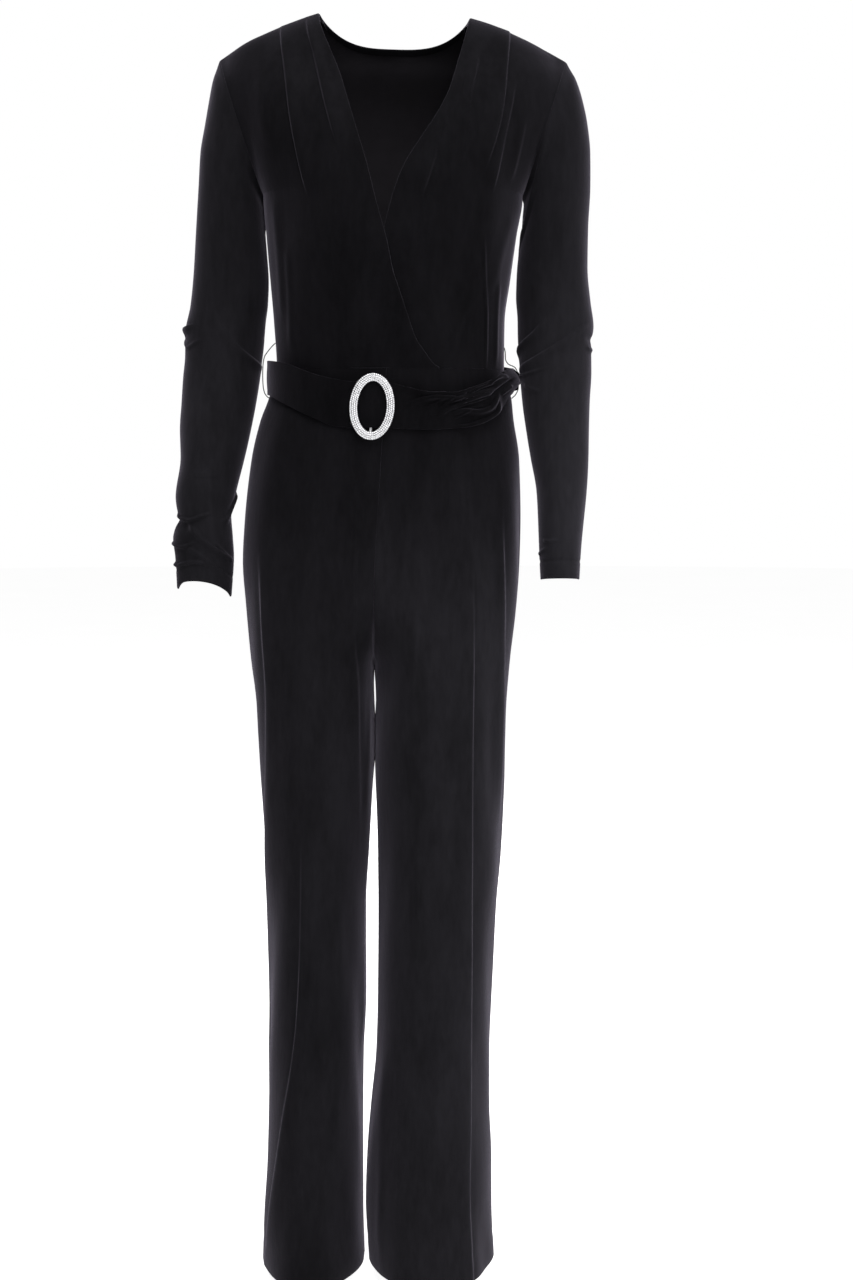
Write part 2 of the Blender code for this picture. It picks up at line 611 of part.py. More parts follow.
def belt_back_grid():
    """The strip round the back, from the left loop to the right one."""
    rest = WALL / 2 + BELT_WALL / 2 + BELT_CLEARANCE
    left_end = BELT_FRONT[-1]
    right_end = BELT_FRONT[0]
    grid = []
    for i in range(BELT_COLUMNS + 1):
        share = i / BELT_COLUMNS
        angle = math.pi * (0.5 - share)
        in_back = ramp(*BACK_RISE, share) * (1 - ramp(*BACK_FALL, share))
        crossed = ramp(BACK_RISE[1], BACK_FALL[0], share)
        top = mix(mix(left_end.top, right_end.top, crossed), BACK_BELT_TOP, in_back)
        low = mix(mix(left_end.low, right_end.low, crossed), BACK_BELT_LOW, in_back)
        amount = 1 - ramp(0.0, GATHER_REACH, share)
        along = left_end.x + share * GATHER_REACH
        line = []
        for j in range(BELT_ROWS + 1):
            up = j / BELT_ROWS
            point = belt_point(BACK, angle, low, rest + amount * gather(along, up))
            point.z = mix(low, top, up)
            point.y += BELT_END_GAP / 2
            line.append(point)
        grid.append(line)
    return grid


# ---------------------------------------------------------------- making objects
def clear_scene():
    for thing in list(bpy.data.objects):
        bpy.data.objects.remove(thing, do_unlink=True)


def collection(name):
    made = bpy.data.collections.get(name) or bpy.data.collections.new(name)
    if name not in bpy.context.scene.collection.children:
        bpy.context.scene.collection.children.link(made)
    return made


def material(name, colour, roughness, metallic):
    made = bpy.data.materials.get(name) or bpy.data.materials.new(name)
    made.use_nodes = True
    shader = made.node_tree.nodes["Principled BSDF"]
    shader.inputs["Base Color"].default_value = colour
    shader.inputs["Roughness"].default_value = roughness
    shader.inputs["Metallic"].default_value = metallic
    return made


def add_object(name, data, finish):
    thing = bpy.data.objects.new(name, data)
    collection(COLLECTION).objects.link(thing)
    data.materials.append(finish)
    return thing


def cloth(name, grid, wall, closed=False):
    """An open surface through a grid of points, given its wall by Solidify."""
    rows = len(grid)
    columns = len(grid[0]) + (1 if closed else 0)
    sheet = bmesh.new()
    bmesh.ops.create_grid(sheet, x_segments=columns - 1, y_segments=rows - 1, size=0.5)
    for corner in sheet.verts:
        column = round((corner.co.x + 0.5) * (columns - 1))
        row = round((corner.co.y + 0.5) * (rows - 1))
        corner.co = grid[row][column % len(grid[0])]
    if closed:
        bmesh.ops.remove_doubles(sheet, verts=sheet.verts, dist=MERGE_DISTANCE)
    mesh = bpy.data.meshes.new(name)
    sheet.to_mesh(mesh)
    sheet.free()
    mesh.shade_smooth()
    thing = add_object(name, mesh, material("velvet", VELVET, VELVET_ROUGHNESS, 0.0))
    shell = thing.modifiers.new("wall", "SOLIDIFY")
    shell.thickness = wall
    shell.offset = 0.0
    return thing


def buckle_ring():
    """An oval ring: a domed band swept round an ellipse."""
    band = bpy.data.curves.new("buckle_section", "CURVE")
    band.dimensions = "2D"
    outline = band.splines.new("POLY")
    outline.use_cyclic_u = True
    outline.points.add(SECTION_POINTS - 1)
    for i, corner in enumerate(outline.points):
        turn = -2 * math.pi * i / SECTION_POINTS
        corner.co = (BUCKLE_BAND / 2 * math.cos(turn), BUCKLE_THICKNESS / 2 * math.sin(turn), 0, 1)
    section = bpy.data.objects.new("buckle_section", band)
    collection("guides").objects.link(section)
    section.hide_render = True
    section.display_type = "WIRE"

    path = bpy.data.curves.new("buckle", "CURVE")
    path.dimensions = "2D"
    oval = path.splines.new("POLY")
    oval.use_cyclic_u = True
    oval.points.add(BUCKLE_POINTS - 1)
    wide = BUCKLE_HALF_WIDTH - BUCKLE_BAND / 2
    high = BUCKLE_HALF_HEIGHT - BUCKLE_BAND / 2
    for i, corner in enumerate(oval.points):
        turn = 2 * math.pi * i / BUCKLE_POINTS
        corner.co = (wide * math.cos(turn), high * math.sin(turn), 0, 1)
    path.bevel_mode = "OBJECT"
    path.bevel_object = section
    thing = add_object("buckle", path, material("silver", SILVER, SILVER_ROUGHNESS, 1.0))
    thing.location = BUCKLE_CENTRE
    thing.rotation_euler = (math.pi / 2, BUCKLE_TILT, 0)
    return thing


def tube(name, points, radius, finish):
    path = bpy.data.curves.new(name, "CURVE")
    path.dimensions = "3D"
    path.bevel_depth = radius
    path.bevel_resolution = TUBE_RESOLUTION
    path.use_fill_caps = True
    line = path.splines.new("POLY")
    line.points.add(len(points) - 1)
    for corner, point in zip(line.points, points):
        corner.co = (point[0], point[1], point[2], 1)
    return add_object(name, path, finish)


def buckle_bar():
    """A bar like a staple: its middle lies behind the belt, its ends reach the ring's back."""
    lean = Vector((math.sin(BUCKLE_TILT), 0, math.cos(BUCKLE_TILT)))
    back = BUCKLE_THICKNESS / 2 + BAR_CLEARANCE
    behind = Vector((0, BAR_SETBACK, 0))
    touching = Vector((0, back, 0))
    points = [
        BUCKLE_CENTRE - lean * BAR_END + touching,
        BUCKLE_CENTRE - lean * BAR_END + (behind + touching) / 2,
        BUCKLE_CENTRE - lean * BAR_BEND + behind,
        BUCKLE_CENTRE + lean * BAR_BEND + behind,
        BUCKLE_CENTRE + lean * BAR_END + (behind + touching) / 2,
        BUCKLE_CENTRE + lean * BAR_END + touching,
    ]
    return tube("buckle_bar", points, BAR_RADIUS, material("silver", SILVER, SILVER_ROUGHNESS, 1.0))


def thread_loop(name, side):
    knots = THREAD_LOOPS[side]
    keys = list(range(len(knots)))
    points = []
    for i in range((len(knots) - 1) * THREAD_STEPS + 1):
        at = i / THREAD_STEPS
        points.append([smooth_value(keys, column, at) for column in zip(*knots)])
    return tube(name, points, THREAD_RADIUS, material("velvet", VELVET, VELVET_ROUGHNESS, 0.0))


def main():
    clear_scene()
    cloth("front_bodice_right", front_bodice_grid(RIGHT, BODICE_COLUMNS), WALL)
    cloth("front_bodice_left", front_bodice_grid(LEFT, BODICE_COLUMNS), WALL)
    cloth("back_bodice", back_bodice_grid(), WALL)
    for side, word in ((RIGHT, "right"), (LEFT, "left")):
        cloth("sleeve_" + word, sleeve_grid(side), WALL, closed=True)
        cloth("trouser_front_" + word, leg_grid(side, FRONT, LEG_COLUMNS), WALL)
        cloth("trouser_back_" + word, leg_grid(side, BACK, LEG_COLUMNS), WALL)
        thread_loop("belt_loop_" + word, side)
    cloth("belt_front", belt_front_grid(), BELT_WALL)
    cloth("belt_back", belt_back_grid(), BELT_WALL)
    buckle_ring()
    buckle_bar()


main()
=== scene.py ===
"""Velvet wrap-front jumpsuit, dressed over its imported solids.

Frame: metres, +Z up, the wearer faces -Y, +X is the wearer's left.
"""
import math
from collections import namedtuple

import bmesh
import bpy
import numpy as np
from bpy.props import FloatProperty, FloatVectorProperty, IntProperty, PointerProperty
from mathutils import Matrix, Vector


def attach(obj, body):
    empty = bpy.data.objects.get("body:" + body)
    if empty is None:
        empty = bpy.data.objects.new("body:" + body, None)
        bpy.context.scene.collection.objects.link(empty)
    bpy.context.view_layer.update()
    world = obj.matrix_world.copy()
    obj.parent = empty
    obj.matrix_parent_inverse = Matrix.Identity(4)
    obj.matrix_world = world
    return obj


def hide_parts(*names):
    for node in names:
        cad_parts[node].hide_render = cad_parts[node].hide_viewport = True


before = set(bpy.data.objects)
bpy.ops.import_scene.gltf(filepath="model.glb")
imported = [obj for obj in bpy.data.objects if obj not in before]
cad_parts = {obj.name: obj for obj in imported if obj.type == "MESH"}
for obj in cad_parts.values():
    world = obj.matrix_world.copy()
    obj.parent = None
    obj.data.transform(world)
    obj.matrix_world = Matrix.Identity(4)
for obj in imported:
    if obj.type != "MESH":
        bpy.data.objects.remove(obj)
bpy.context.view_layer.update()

bl_info = {
    "name": "Wrap jumpsuit",
    "version": (1, 0, 0),
    "blender": (4, 5, 0),
    "location": "View3D > Sidebar > Jumpsuit",
    "description": "Makes a velvet wrap-front jumpsuit with a stone-set belt buckle",
    "category": "Add Mesh",
}

# ---------------------------------------- form of the garment
LAYER_STEP = 0.0015      # each wrap layer lies this far off the common chest form
OVERLAP_RIGHT = (-0.110, -0.060)     # a layer comes back to that form at the right,
OVERLAP_LEFT = (0.075, 0.105)        # at the left,
OVERLAP_TOP = (-0.060, -0.020)       # at the shoulders,
OVERLAP_WAIST = 0.03     # over this height above the waist,
WRAP_END = (0.052, 0.066)            # where the under one only does so past the upper one's end,
OVERLAP_DEPTH = 0.04     # and where the form is less deep than this
RIGHT = -1
LEFT = 1
SIDE_WORDS = ((RIGHT, "right"), (LEFT, "left"))
FRONT = -1
BACK = 1
WAIST = -0.405
HEM = -1.470
SEAM_HALF = 0.00015      # half the gap between the bodice and the trousers
CHEST = -0.195
SHOULDER_ROLL = 0.045
BACK_NECK_DROP = 0.028
BACK_NECK_CURVE = 3.2
ARMHOLE_DEPTH = 0.052
CROTCH = -0.742
RISE_TURN = {FRONT: -0.620, BACK: -0.600}
INNER_SINE = 0.95
BODY_ROUNDNESS = 2.3
ARMHOLE_BLEND = 3.0
LEG_ROUNDNESS = 2.2
LEG_FORM = (-0.950, -0.540)
RISE_STEEPNESS = (0.8, 0.5)

Point = namedtuple("Point", "x z")
NECK_POINT = {RIGHT: Point(-0.085, 0.003), LEFT: Point(0.089, -0.002)}
SHOULDER_POINT = {RIGHT: Point(-0.200, -0.050), LEFT: Point(0.200, -0.052)}
SHOULDER_BOW = {RIGHT: 0.0055, LEFT: 0.0035}
UNDERARM = {RIGHT: Point(-0.150, -0.205), LEFT: Point(0.150, -0.205)}

Torso = namedtuple("Torso", "z right left front back")
TORSO = (
    Torso(0.010, -0.150, 0.150, -0.045, 0.045),
    Torso(-0.050, -0.150, 0.150, -0.070, 0.066),
    Torso(-0.100, -0.150, 0.150, -0.096, 0.086),
    Torso(-0.150, -0.150, 0.150, -0.114, 0.096),
    Torso(-0.205, -0.150, 0.150, -0.126, 0.100),
    Torso(-0.250, -0.1465, 0.143, -0.126, 0.098),
    Torso(-0.300, -0.143, 0.136, -0.118, 0.091),
    Torso(-0.350, -0.139, 0.1295, -0.108, 0.083),
    Torso(-0.405, -0.136, 0.129, -0.101, 0.078),
    Torso(-0.440, -0.146, 0.138, -0.102, 0.084),
    Torso(-0.463, -0.155, 0.140, -0.104, 0.092),
    Torso(-0.510, -0.166, 0.147, -0.108, 0.107),
    Torso(-0.580, -0.174, 0.149, -0.112, 0.122),
    Torso(-0.628, -0.176, 0.148, -0.113, 0.125),
    Torso(-0.675, -0.173, 0.145, -0.114, 0.122),
    Torso(-0.742, -0.168, 0.137, -0.115, 0.114),
    Torso(-0.794, -0.162, 0.133, -0.114, 0.109),
)

Legs = namedtuple("Legs", "z right_outer right_inner left_inner left_outer front back")
LEGS = (
    Legs(-0.400, -0.136, -0.0060, -0.0060, 0.129, -0.100, 0.078),
    Legs(-0.500, -0.164, -0.0120, -0.0120, 0.146, -0.107, 0.104),
    Legs(-0.620, -0.176, -0.0195, -0.0195, 0.148, -0.113, 0.124),
    Legs(-0.675, -0.173, -0.0216, -0.0213, 0.145, -0.114, 0.120),
    Legs(-0.742, -0.168, -0.0231, -0.0228, 0.137, -0.115, 0.114),
    Legs(-0.756, -0.1665, -0.0235, -0.0226, 0.1358, -0.1148, 0.1126),
    Legs(-0.775, -0.164, -0.0242, -0.0214, 0.1343, -0.1145, 0.1107),
    Legs(-0.795, -0.162, -0.0236, -0.0208, 0.133, -0.114, 0.109),
    Legs(-0.812, -0.161, -0.0228, -0.0219, 0.1323, -0.1134, 0.108),
    Legs(-0.822, -0.1605, -0.0225, -0.0222, 0.132, -0.113, 0.1075),
    Legs(-0.850, -0.159, -0.0225, -0.0224, 0.131, -0.112, 0.106),
    Legs(-0.890, -0.157, -0.0255, -0.0215, 0.130, -0.111, 0.104),
    Legs(-0.975, -0.152, -0.0305, -0.0185, 0.127, -0.108, 0.102),
    Legs(-1.036, -0.150, -0.0340, -0.0185, 0.122, -0.107, 0.102),
    Legs(-1.158, -0.150, -0.0345, -0.0195, 0.116, -0.108, 0.104),
    Legs(-1.220, -0.151, -0.0375, -0.0215, 0.114, -0.110, 0.107),
    Legs(-1.281, -0.151, -0.0385, -0.0275, 0.114, -0.112, 0.110),
    Legs(-1.344, -0.152, -0.0385, -0.0325, 0.116, -0.114, 0.114),
    Legs(-1.406, -0.155, -0.0385, -0.0345, 0.116, -0.117, 0.118),
    Legs(-1.470, -0.157, -0.0370, -0.0305, 0.119, -0.120, 0.122),
)

Edge = namedtuple("Edge", "z x")
WRAP_EDGE = {
    RIGHT: (
        Edge(0.003, -0.085), Edge(-0.014, -0.0818), Edge(-0.048, -0.069), Edge(-0.072, -0.0595),
        Edge(-0.131, -0.042), Edge(-0.177, -0.0283), Edge(-0.221, -0.0172), Edge(-0.265, -0.0051),
        Edge(-0.297, 0.0014), Edge(-0.32, 0.0091), Edge(-0.347, 0.018), Edge(-0.372, 0.027),
        Edge(-0.387, 0.037), Edge(-0.4, 0.047), Edge(-0.405, 0.054),
    ),
    LEFT: (
        Edge(-0.002, 0.089), Edge(-0.035, 0.0812), Edge(-0.06, 0.0742), Edge(-0.092, 0.065),
        Edge(-0.119, 0.0526), Edge(-0.154, 0.0304), Edge(-0.177, 0.016), Edge(-0.199, 0.0061),
        Edge(-0.232, -0.0039), Edge(-0.25, -0.0084), Edge(-0.3, -0.0225), Edge(-0.35, -0.041),
        Edge(-0.405, -0.062),
    ),
}

Ring = namedtuple("Ring", "outer_x outer_z inner_x inner_z front back")
SLEEVES = {
    RIGHT: (
        Ring(-0.2085, -0.072, -0.1522, -0.214, -0.0530, 0.0525),
        Ring(-0.2140, -0.098, -0.1510, -0.226, -0.0545, 0.0530),
        Ring(-0.2185, -0.122, -0.1502, -0.240, -0.0545, 0.0530),
        Ring(-0.2240, -0.155, -0.1490, -0.257, -0.0540, 0.0530),
        Ring(-0.2260, -0.195, -0.1477, -0.277, -0.0525, 0.0530),
        Ring(-0.2285, -0.240, -0.1466, -0.300, -0.0505, 0.0530),
        Ring(-0.2315, -0.290, -0.1478, -0.327, -0.0485, 0.0530),
        Ring(-0.2360, -0.330, -0.1510, -0.352, -0.0465, 0.0540),
        Ring(-0.2425, -0.362, -0.1528, -0.376, -0.0460, 0.0540),
        Ring(-0.2425, -0.388, -0.1550, -0.398, -0.0470, 0.0520),
        Ring(-0.2445, -0.412, -0.1572, -0.420, -0.0490, 0.0490),
        Ring(-0.2465, -0.442, -0.1615, -0.447, -0.0520, 0.0440),
        Ring(-0.2490, -0.476, -0.1680, -0.478, -0.0560, 0.0370),
        Ring(-0.2485, -0.506, -0.1750, -0.508, -0.0590, 0.0290),
        Ring(-0.2535, -0.552, -0.1860, -0.552, -0.0630, 0.0160),
        Ring(-0.2510, -0.576, -0.1905, -0.574, -0.0640, 0.0080),
        Ring(-0.2560, -0.600, -0.1885, -0.598, -0.0670, 0.0020),
        Ring(-0.2535, -0.622, -0.1865, -0.624, -0.0670, -0.0060),
        Ring(-0.2513, -0.659, -0.1884, -0.668, -0.0660, -0.0120),
    ),
    LEFT: (
        Ring(0.2110, -0.072, 0.1522, -0.214, -0.0530, 0.0525),
        Ring(0.2190, -0.098, 0.1510, -0.226, -0.0545, 0.0530),
        Ring(0.2240, -0.122, 0.1500, -0.240, -0.0545, 0.0530),
        Ring(0.2275, -0.155, 0.1480, -0.255, -0.0540, 0.0530),
        Ring(0.2280, -0.195, 0.1458, -0.272, -0.0525, 0.0530),
        Ring(0.2265, -0.240, 0.1440, -0.295, -0.0505, 0.0530),
        Ring(0.2270, -0.285, 0.1435, -0.320, -0.0485, 0.0530),
        Ring(0.2310, -0.325, 0.1458, -0.345, -0.0465, 0.0540),
        Ring(0.2345, -0.354, 0.1465, -0.368, -0.0460, 0.0540),
        Ring(0.2315, -0.378, 0.1482, -0.390, -0.0470, 0.0520),
        Ring(0.2315, -0.405, 0.1495, -0.414, -0.0490, 0.0490),
        Ring(0.2295, -0.440, 0.1520, -0.445, -0.0520, 0.0440),
        Ring(0.2280, -0.475, 0.1560, -0.477, -0.0570, 0.0370),
        Ring(0.2265, -0.508, 0.1605, -0.508, -0.0620, 0.0290),
        Ring(0.2240, -0.545, 0.1665, -0.545, -0.0670, 0.0190),
        Ring(0.2210, -0.580, 0.1685, -0.580, -0.0710, 0.0090),
        Ring(0.2185, -0.612, 0.1705, -0.612, -0.0740, 0.0010),
        Ring(0.2165, -0.648, 0.1728, -0.648, -0.0750, -0.0050),
    ),
}
CUFF_ARCH = {RIGHT: 0.0145, LEFT: 0.0035}
ARCH_REACH = 0.060

Band = namedtuple("Band", "x top low")
BELT_FRONT = (
    Band(-0.148, -0.3945, -0.434), Band(-0.125, -0.398, -0.444), Band(-0.085, -0.411, -0.461),
    Band(-0.06, -0.4172, -0.47), Band(-0.04, -0.4202, -0.4722), Band(-0.0225, -0.4196, -0.472),
    Band(-0.005, -0.4208, -0.4722), Band(0.02, -0.4268, -0.4735), Band(0.046, -0.432, -0.474),
    Band(0.065, -0.432, -0.473), Band(0.088, -0.426, -0.47), Band(0.105, -0.419, -0.464),
    Band(0.119, -0.411, -0.454), Band(0.132, -0.404, -0.437), Band(0.14, -0.403, -0.431),
)
BACK_BELT_TOP = -0.392
BACK_BELT_LOW = -0.438
BELT_REST = 0.0029       # from the middle of the body cloth to the middle of the belt
BELT_LEVEL = -0.450
SIDE_ANGLE = math.radians(88.8)
BACK_RISE = (0.0, 0.35)
BACK_FALL = (0.65, 1.0)

BUCKLE_CENTRE = Vector((-0.0225, -0.1128, -0.4484))
BUCKLE_HALF_WIDTH = 0.0255
BUCKLE_HALF_HEIGHT = 0.0376
BUCKLE_BAND = 0.0092
BUCKLE_THICKNESS = 0.0040
BUCKLE_TILT = math.radians(4.0)
BAR_SWELL = 0.019
BAR_STAND = 0.0032

Knot = namedtuple("Knot", "x y z")
THREAD_LOOPS = {
    RIGHT: (
        Knot(-0.1382, -0.001, -0.3735), Knot(-0.142, -0.0015, -0.3772), Knot(-0.147, -0.0015, -0.3832),
        Knot(-0.1512, -0.0015, -0.39), Knot(-0.1528, -0.0015, -0.4), Knot(-0.1532, -0.0015, -0.412),
        Knot(-0.1528, -0.0015, -0.423), Knot(-0.1512, -0.0015, -0.431), Knot(-0.148, -0.0015, -0.4358),
        Knot(-0.1444, -0.001, -0.4382),
    ),
    LEFT: (
        Knot(0.1298, -0.001, -0.379), Knot(0.1309, -0.0015, -0.385), Knot(0.1312, -0.0015, -0.392),
        Knot(0.1342, -0.0015, -0.3975), Knot(0.1425, -0.0015, -0.402), Knot(0.1466, -0.0015, -0.414),
        Knot(0.1462, -0.0015, -0.426), Knot(0.143, -0.0015, -0.4335), Knot(0.1386, -0.001, -0.4378),
    ),
}

# ---------------------------------------- creases
# A crease is a ridge along a line of (across, height) points. Its left and right widths,
# seen along the line from outside, make it a soft swell, a sharp pleat or a thin pinch.
Crease = namedtuple("Crease", "line rise left right")


def pinch(rise, width, *line):
    return Crease(line, rise, width, width)


BODICE_CREASES = {
    RIGHT: (
        Crease(((-0.129, -0.004), (-0.126, -0.026), (-0.118, -0.079), (-0.111, -0.132), (-0.097, -0.197),
                (-0.088, -0.225)), 0.0036, 0.013, 0.0016),
        Crease(((-0.099, 0.002), (-0.095, -0.022), (-0.088, -0.049), (-0.074, -0.107), (-0.062, -0.151),
                (-0.053, -0.18)), 0.0034, 0.012, 0.0018),
        pinch(0.0012, 0.006, (-0.11, -0.03), (-0.098, -0.09), (-0.083, -0.15), (-0.075, -0.18)),
        pinch(0.0013, 0.008, (-0.15, -0.06), (-0.146, -0.11), (-0.135, -0.17)),
        pinch(0.0016, 0.005, (-0.133, -0.205), (-0.131, -0.24), (-0.128, -0.29), (-0.125, -0.36)),
        pinch(0.001, 0.004, (-0.12, -0.26), (-0.116, -0.33), (-0.115, -0.395)),
        pinch(0.001, 0.006, (-0.06, -0.395), (-0.066, -0.37), (-0.075, -0.335)),
    ),
    LEFT: (
        Crease(((0.076, -0.06), (0.064, -0.106), (0.057, -0.13), (0.044, -0.181), (0.033, -0.214),
                (0.026, -0.24)), 0.003, 0.002, 0.01),
        Crease(((0.086, -0.05), (0.078, -0.1), (0.071, -0.15), (0.064, -0.19)), 0.0016, 0.0025, 0.005),
        Crease(((0.098, -0.04), (0.095, -0.065), (0.087, -0.105), (0.085, -0.14), (0.08, -0.175)),
               0.0026, 0.0016, 0.01),
        Crease(((0.134, -0.006), (0.132, -0.026), (0.129, -0.057), (0.125, -0.095), (0.119, -0.13),
                (0.109, -0.166), (0.1, -0.195)), 0.0038, 0.0016, 0.013),
        Crease(((0.138, -0.08), (0.133, -0.109), (0.126, -0.141), (0.117, -0.185), (0.11, -0.215)),
               0.0022, 0.0018, 0.008),
        Crease(((0.15, -0.12), (0.142, -0.16), (0.132, -0.2)), 0.0014, 0.003, 0.007),
        pinch(0.0016, 0.0017, (0.102, -0.25), (0.103, -0.295), (0.106, -0.35), (0.106, -0.418)),
        pinch(0.0014, 0.003, (0.121, -0.3), (0.118, -0.345), (0.117, -0.41)),
        pinch(0.0014, 0.006, (0.138, -0.225), (0.124, -0.27), (0.112, -0.32)),
        pinch(0.0009, 0.005, (0.06, -0.4), (0.074, -0.36), (0.092, -0.32)),
    ),
}
BACK_CREASES = (
    Crease(((-0.118, -0.01), (-0.112, -0.07), (-0.104, -0.13)), 0.0014, 0.009, 0.004),
    Crease(((0.121, -0.012), (0.114, -0.07), (0.108, -0.125)), 0.0014, 0.004, 0.009),
    pinch(0.0013, 0.006, (-0.144, -0.215), (-0.12, -0.265), (-0.108, -0.32)),
    pinch(0.0012, 0.005, (0.14, -0.222), (0.118, -0.27), (0.104, -0.33)),
    pinch(0.001, 0.005, (-0.074, -0.33), (-0.068, -0.37), (-0.066, -0.41)),
    pinch(0.001, 0.0045, (0.06, -0.335), (0.057, -0.37), (0.056, -0.41)),
    pinch(0.0009, 0.004, (-0.016, -0.345), (-0.013, -0.38), (-0.012, -0.41)),
    pinch(-0.001, 0.009, (-0.11, -0.35), (-0.05, -0.362), (0.02, -0.356)),
    pinch(-0.0008, 0.008, (0.106, -0.366), (0.05, -0.376), (0.0, -0.371)),
)
# On a sleeve, across is the angle from its outer line over the front, in degrees.
SLEEVE_CREASES = {
    RIGHT: (
        Crease(((-34, -0.36), (-4, -0.358), (14, -0.357), (31, -0.3555), (48, -0.3535)),
               0.0034, 0.0013, 0.006),
        pinch(0.0013, 0.0022, (-40, -0.371), (-4, -0.37), (14, -0.3755), (30, -0.379), (48, -0.3745),
              (72, -0.367)),
        Crease(((60, -0.326), (76, -0.342), (92, -0.359), (110, -0.376), (130, -0.388), (161, -0.398),
                (200, -0.404)), 0.0026, 0.0015, 0.007),
        pinch(0.0012, 0.0018, (56, -0.524), (94, -0.526), (130, -0.521)),
        pinch(0.0028, 0.002, (6, -0.57), (40, -0.577), (66, -0.578), (92, -0.573), (116, -0.569)),
        pinch(-0.0022, 0.006, (-30, -0.58), (5, -0.577), (30, -0.583), (80, -0.588)),
        Crease(((60, -0.578), (78, -0.589), (100, -0.602), (126, -0.614), (158, -0.624)),
               0.0034, 0.0015, 0.005),
        pinch(0.0022, 0.0016, (-10, -0.604), (20, -0.607), (50, -0.609), (68, -0.606), (86, -0.602)),
        Crease(((60, -0.606), (84, -0.616), (104, -0.625), (126, -0.636)), 0.0024, 0.0014, 0.005),
        pinch(0.003, 0.002, (-8, -0.628), (28, -0.631), (52, -0.628), (80, -0.626), (112, -0.633)),
        pinch(0.0016, 0.0024, (112, -0.601), (134, -0.613), (156, -0.622), (176, -0.626)),
        Crease(((196, -0.545), (176, -0.556), (154, -0.574), (130, -0.581)), 0.0028, 0.007, 0.0018),
        pinch(0.0016, 0.006, (150, -0.186), (172, -0.204), (186, -0.224), (190, -0.25)),
        pinch(0.0022, 0.006, (215, -0.398), (245, -0.392), (280, -0.372), (318, -0.352)),
        pinch(0.0018, 0.004, (220, -0.42), (262, -0.412), (300, -0.396)),
        pinch(0.002, 0.003, (198, -0.574), (232, -0.582), (268, -0.579), (300, -0.571)),
        pinch(0.0022, 0.003, (206, -0.622), (240, -0.616), (276, -0.604), (312, -0.601)),
        pinch(0.0016, 0.003, (230, -0.64), (266, -0.632), (306, -0.626), (336, -0.628)),
        pinch(0.0014, 0.008, (232, -0.15), (246, -0.196), (240, -0.25)),
        pinch(0.001, 0.01, (60, -0.12), (74, -0.18), (80, -0.26)),
    ),
    LEFT: (
        Crease(((196, -0.392), (174, -0.38), (150, -0.372), (131, -0.364), (104, -0.344)),
               0.0024, 0.006, 0.0013),
        Crease(((190, -0.41), (158, -0.4), (132, -0.393), (111, -0.385), (84, -0.373), (52, -0.356),
                (30, -0.352)), 0.0026, 0.007, 0.0013),
        pinch(0.0014, 0.0018, (214, -0.416), (180, -0.412), (150, -0.41), (128, -0.407), (104, -0.401)),
        pinch(-0.0014, 0.0045, (48, -0.366), (22, -0.37), (-10, -0.37), (-50, -0.366)),
        pinch(0.0015, 0.0028, (40, -0.38), (14, -0.382), (-20, -0.379)),
        pinch(0.0014, 0.0022, (160, -0.421), (140, -0.427), (120, -0.431)),
        pinch(0.0012, 0.0018, (146, -0.601), (124, -0.602), (100, -0.6)),
        pinch(0.0014, 0.0022, (182, -0.619), (156, -0.615), (126, -0.609)),
        pinch(0.003, 0.0022, (94, -0.14), (107, -0.16), (124, -0.187), (140, -0.217), (158, -0.247),
              (182, -0.275)),
        pinch(0.0024, 0.006, (212, -0.402), (246, -0.39), (284, -0.372), (322, -0.356)),
        pinch(0.0016, 0.004, (216, -0.428), (258, -0.42), (300, -0.402)),
        pinch(0.0012, 0.003, (210, -0.604), (246, -0.6), (280, -0.592)),
        pinch(0.0014, 0.008, (236, -0.15), (250, -0.196), (246, -0.25)),
        pinch(0.001, 0.01, (66, -0.11), (78, -0.18), (84, -0.25)),
    ),
}
OUTER_LEG_LINE = ((-0.105, -1.07), (-0.109, -1.15), (-0.117, -1.224), (-0.123, -1.262), (-0.131, -1.318),
                  (-0.141, -1.385), (-0.15, -1.45), (-0.16, -1.53))
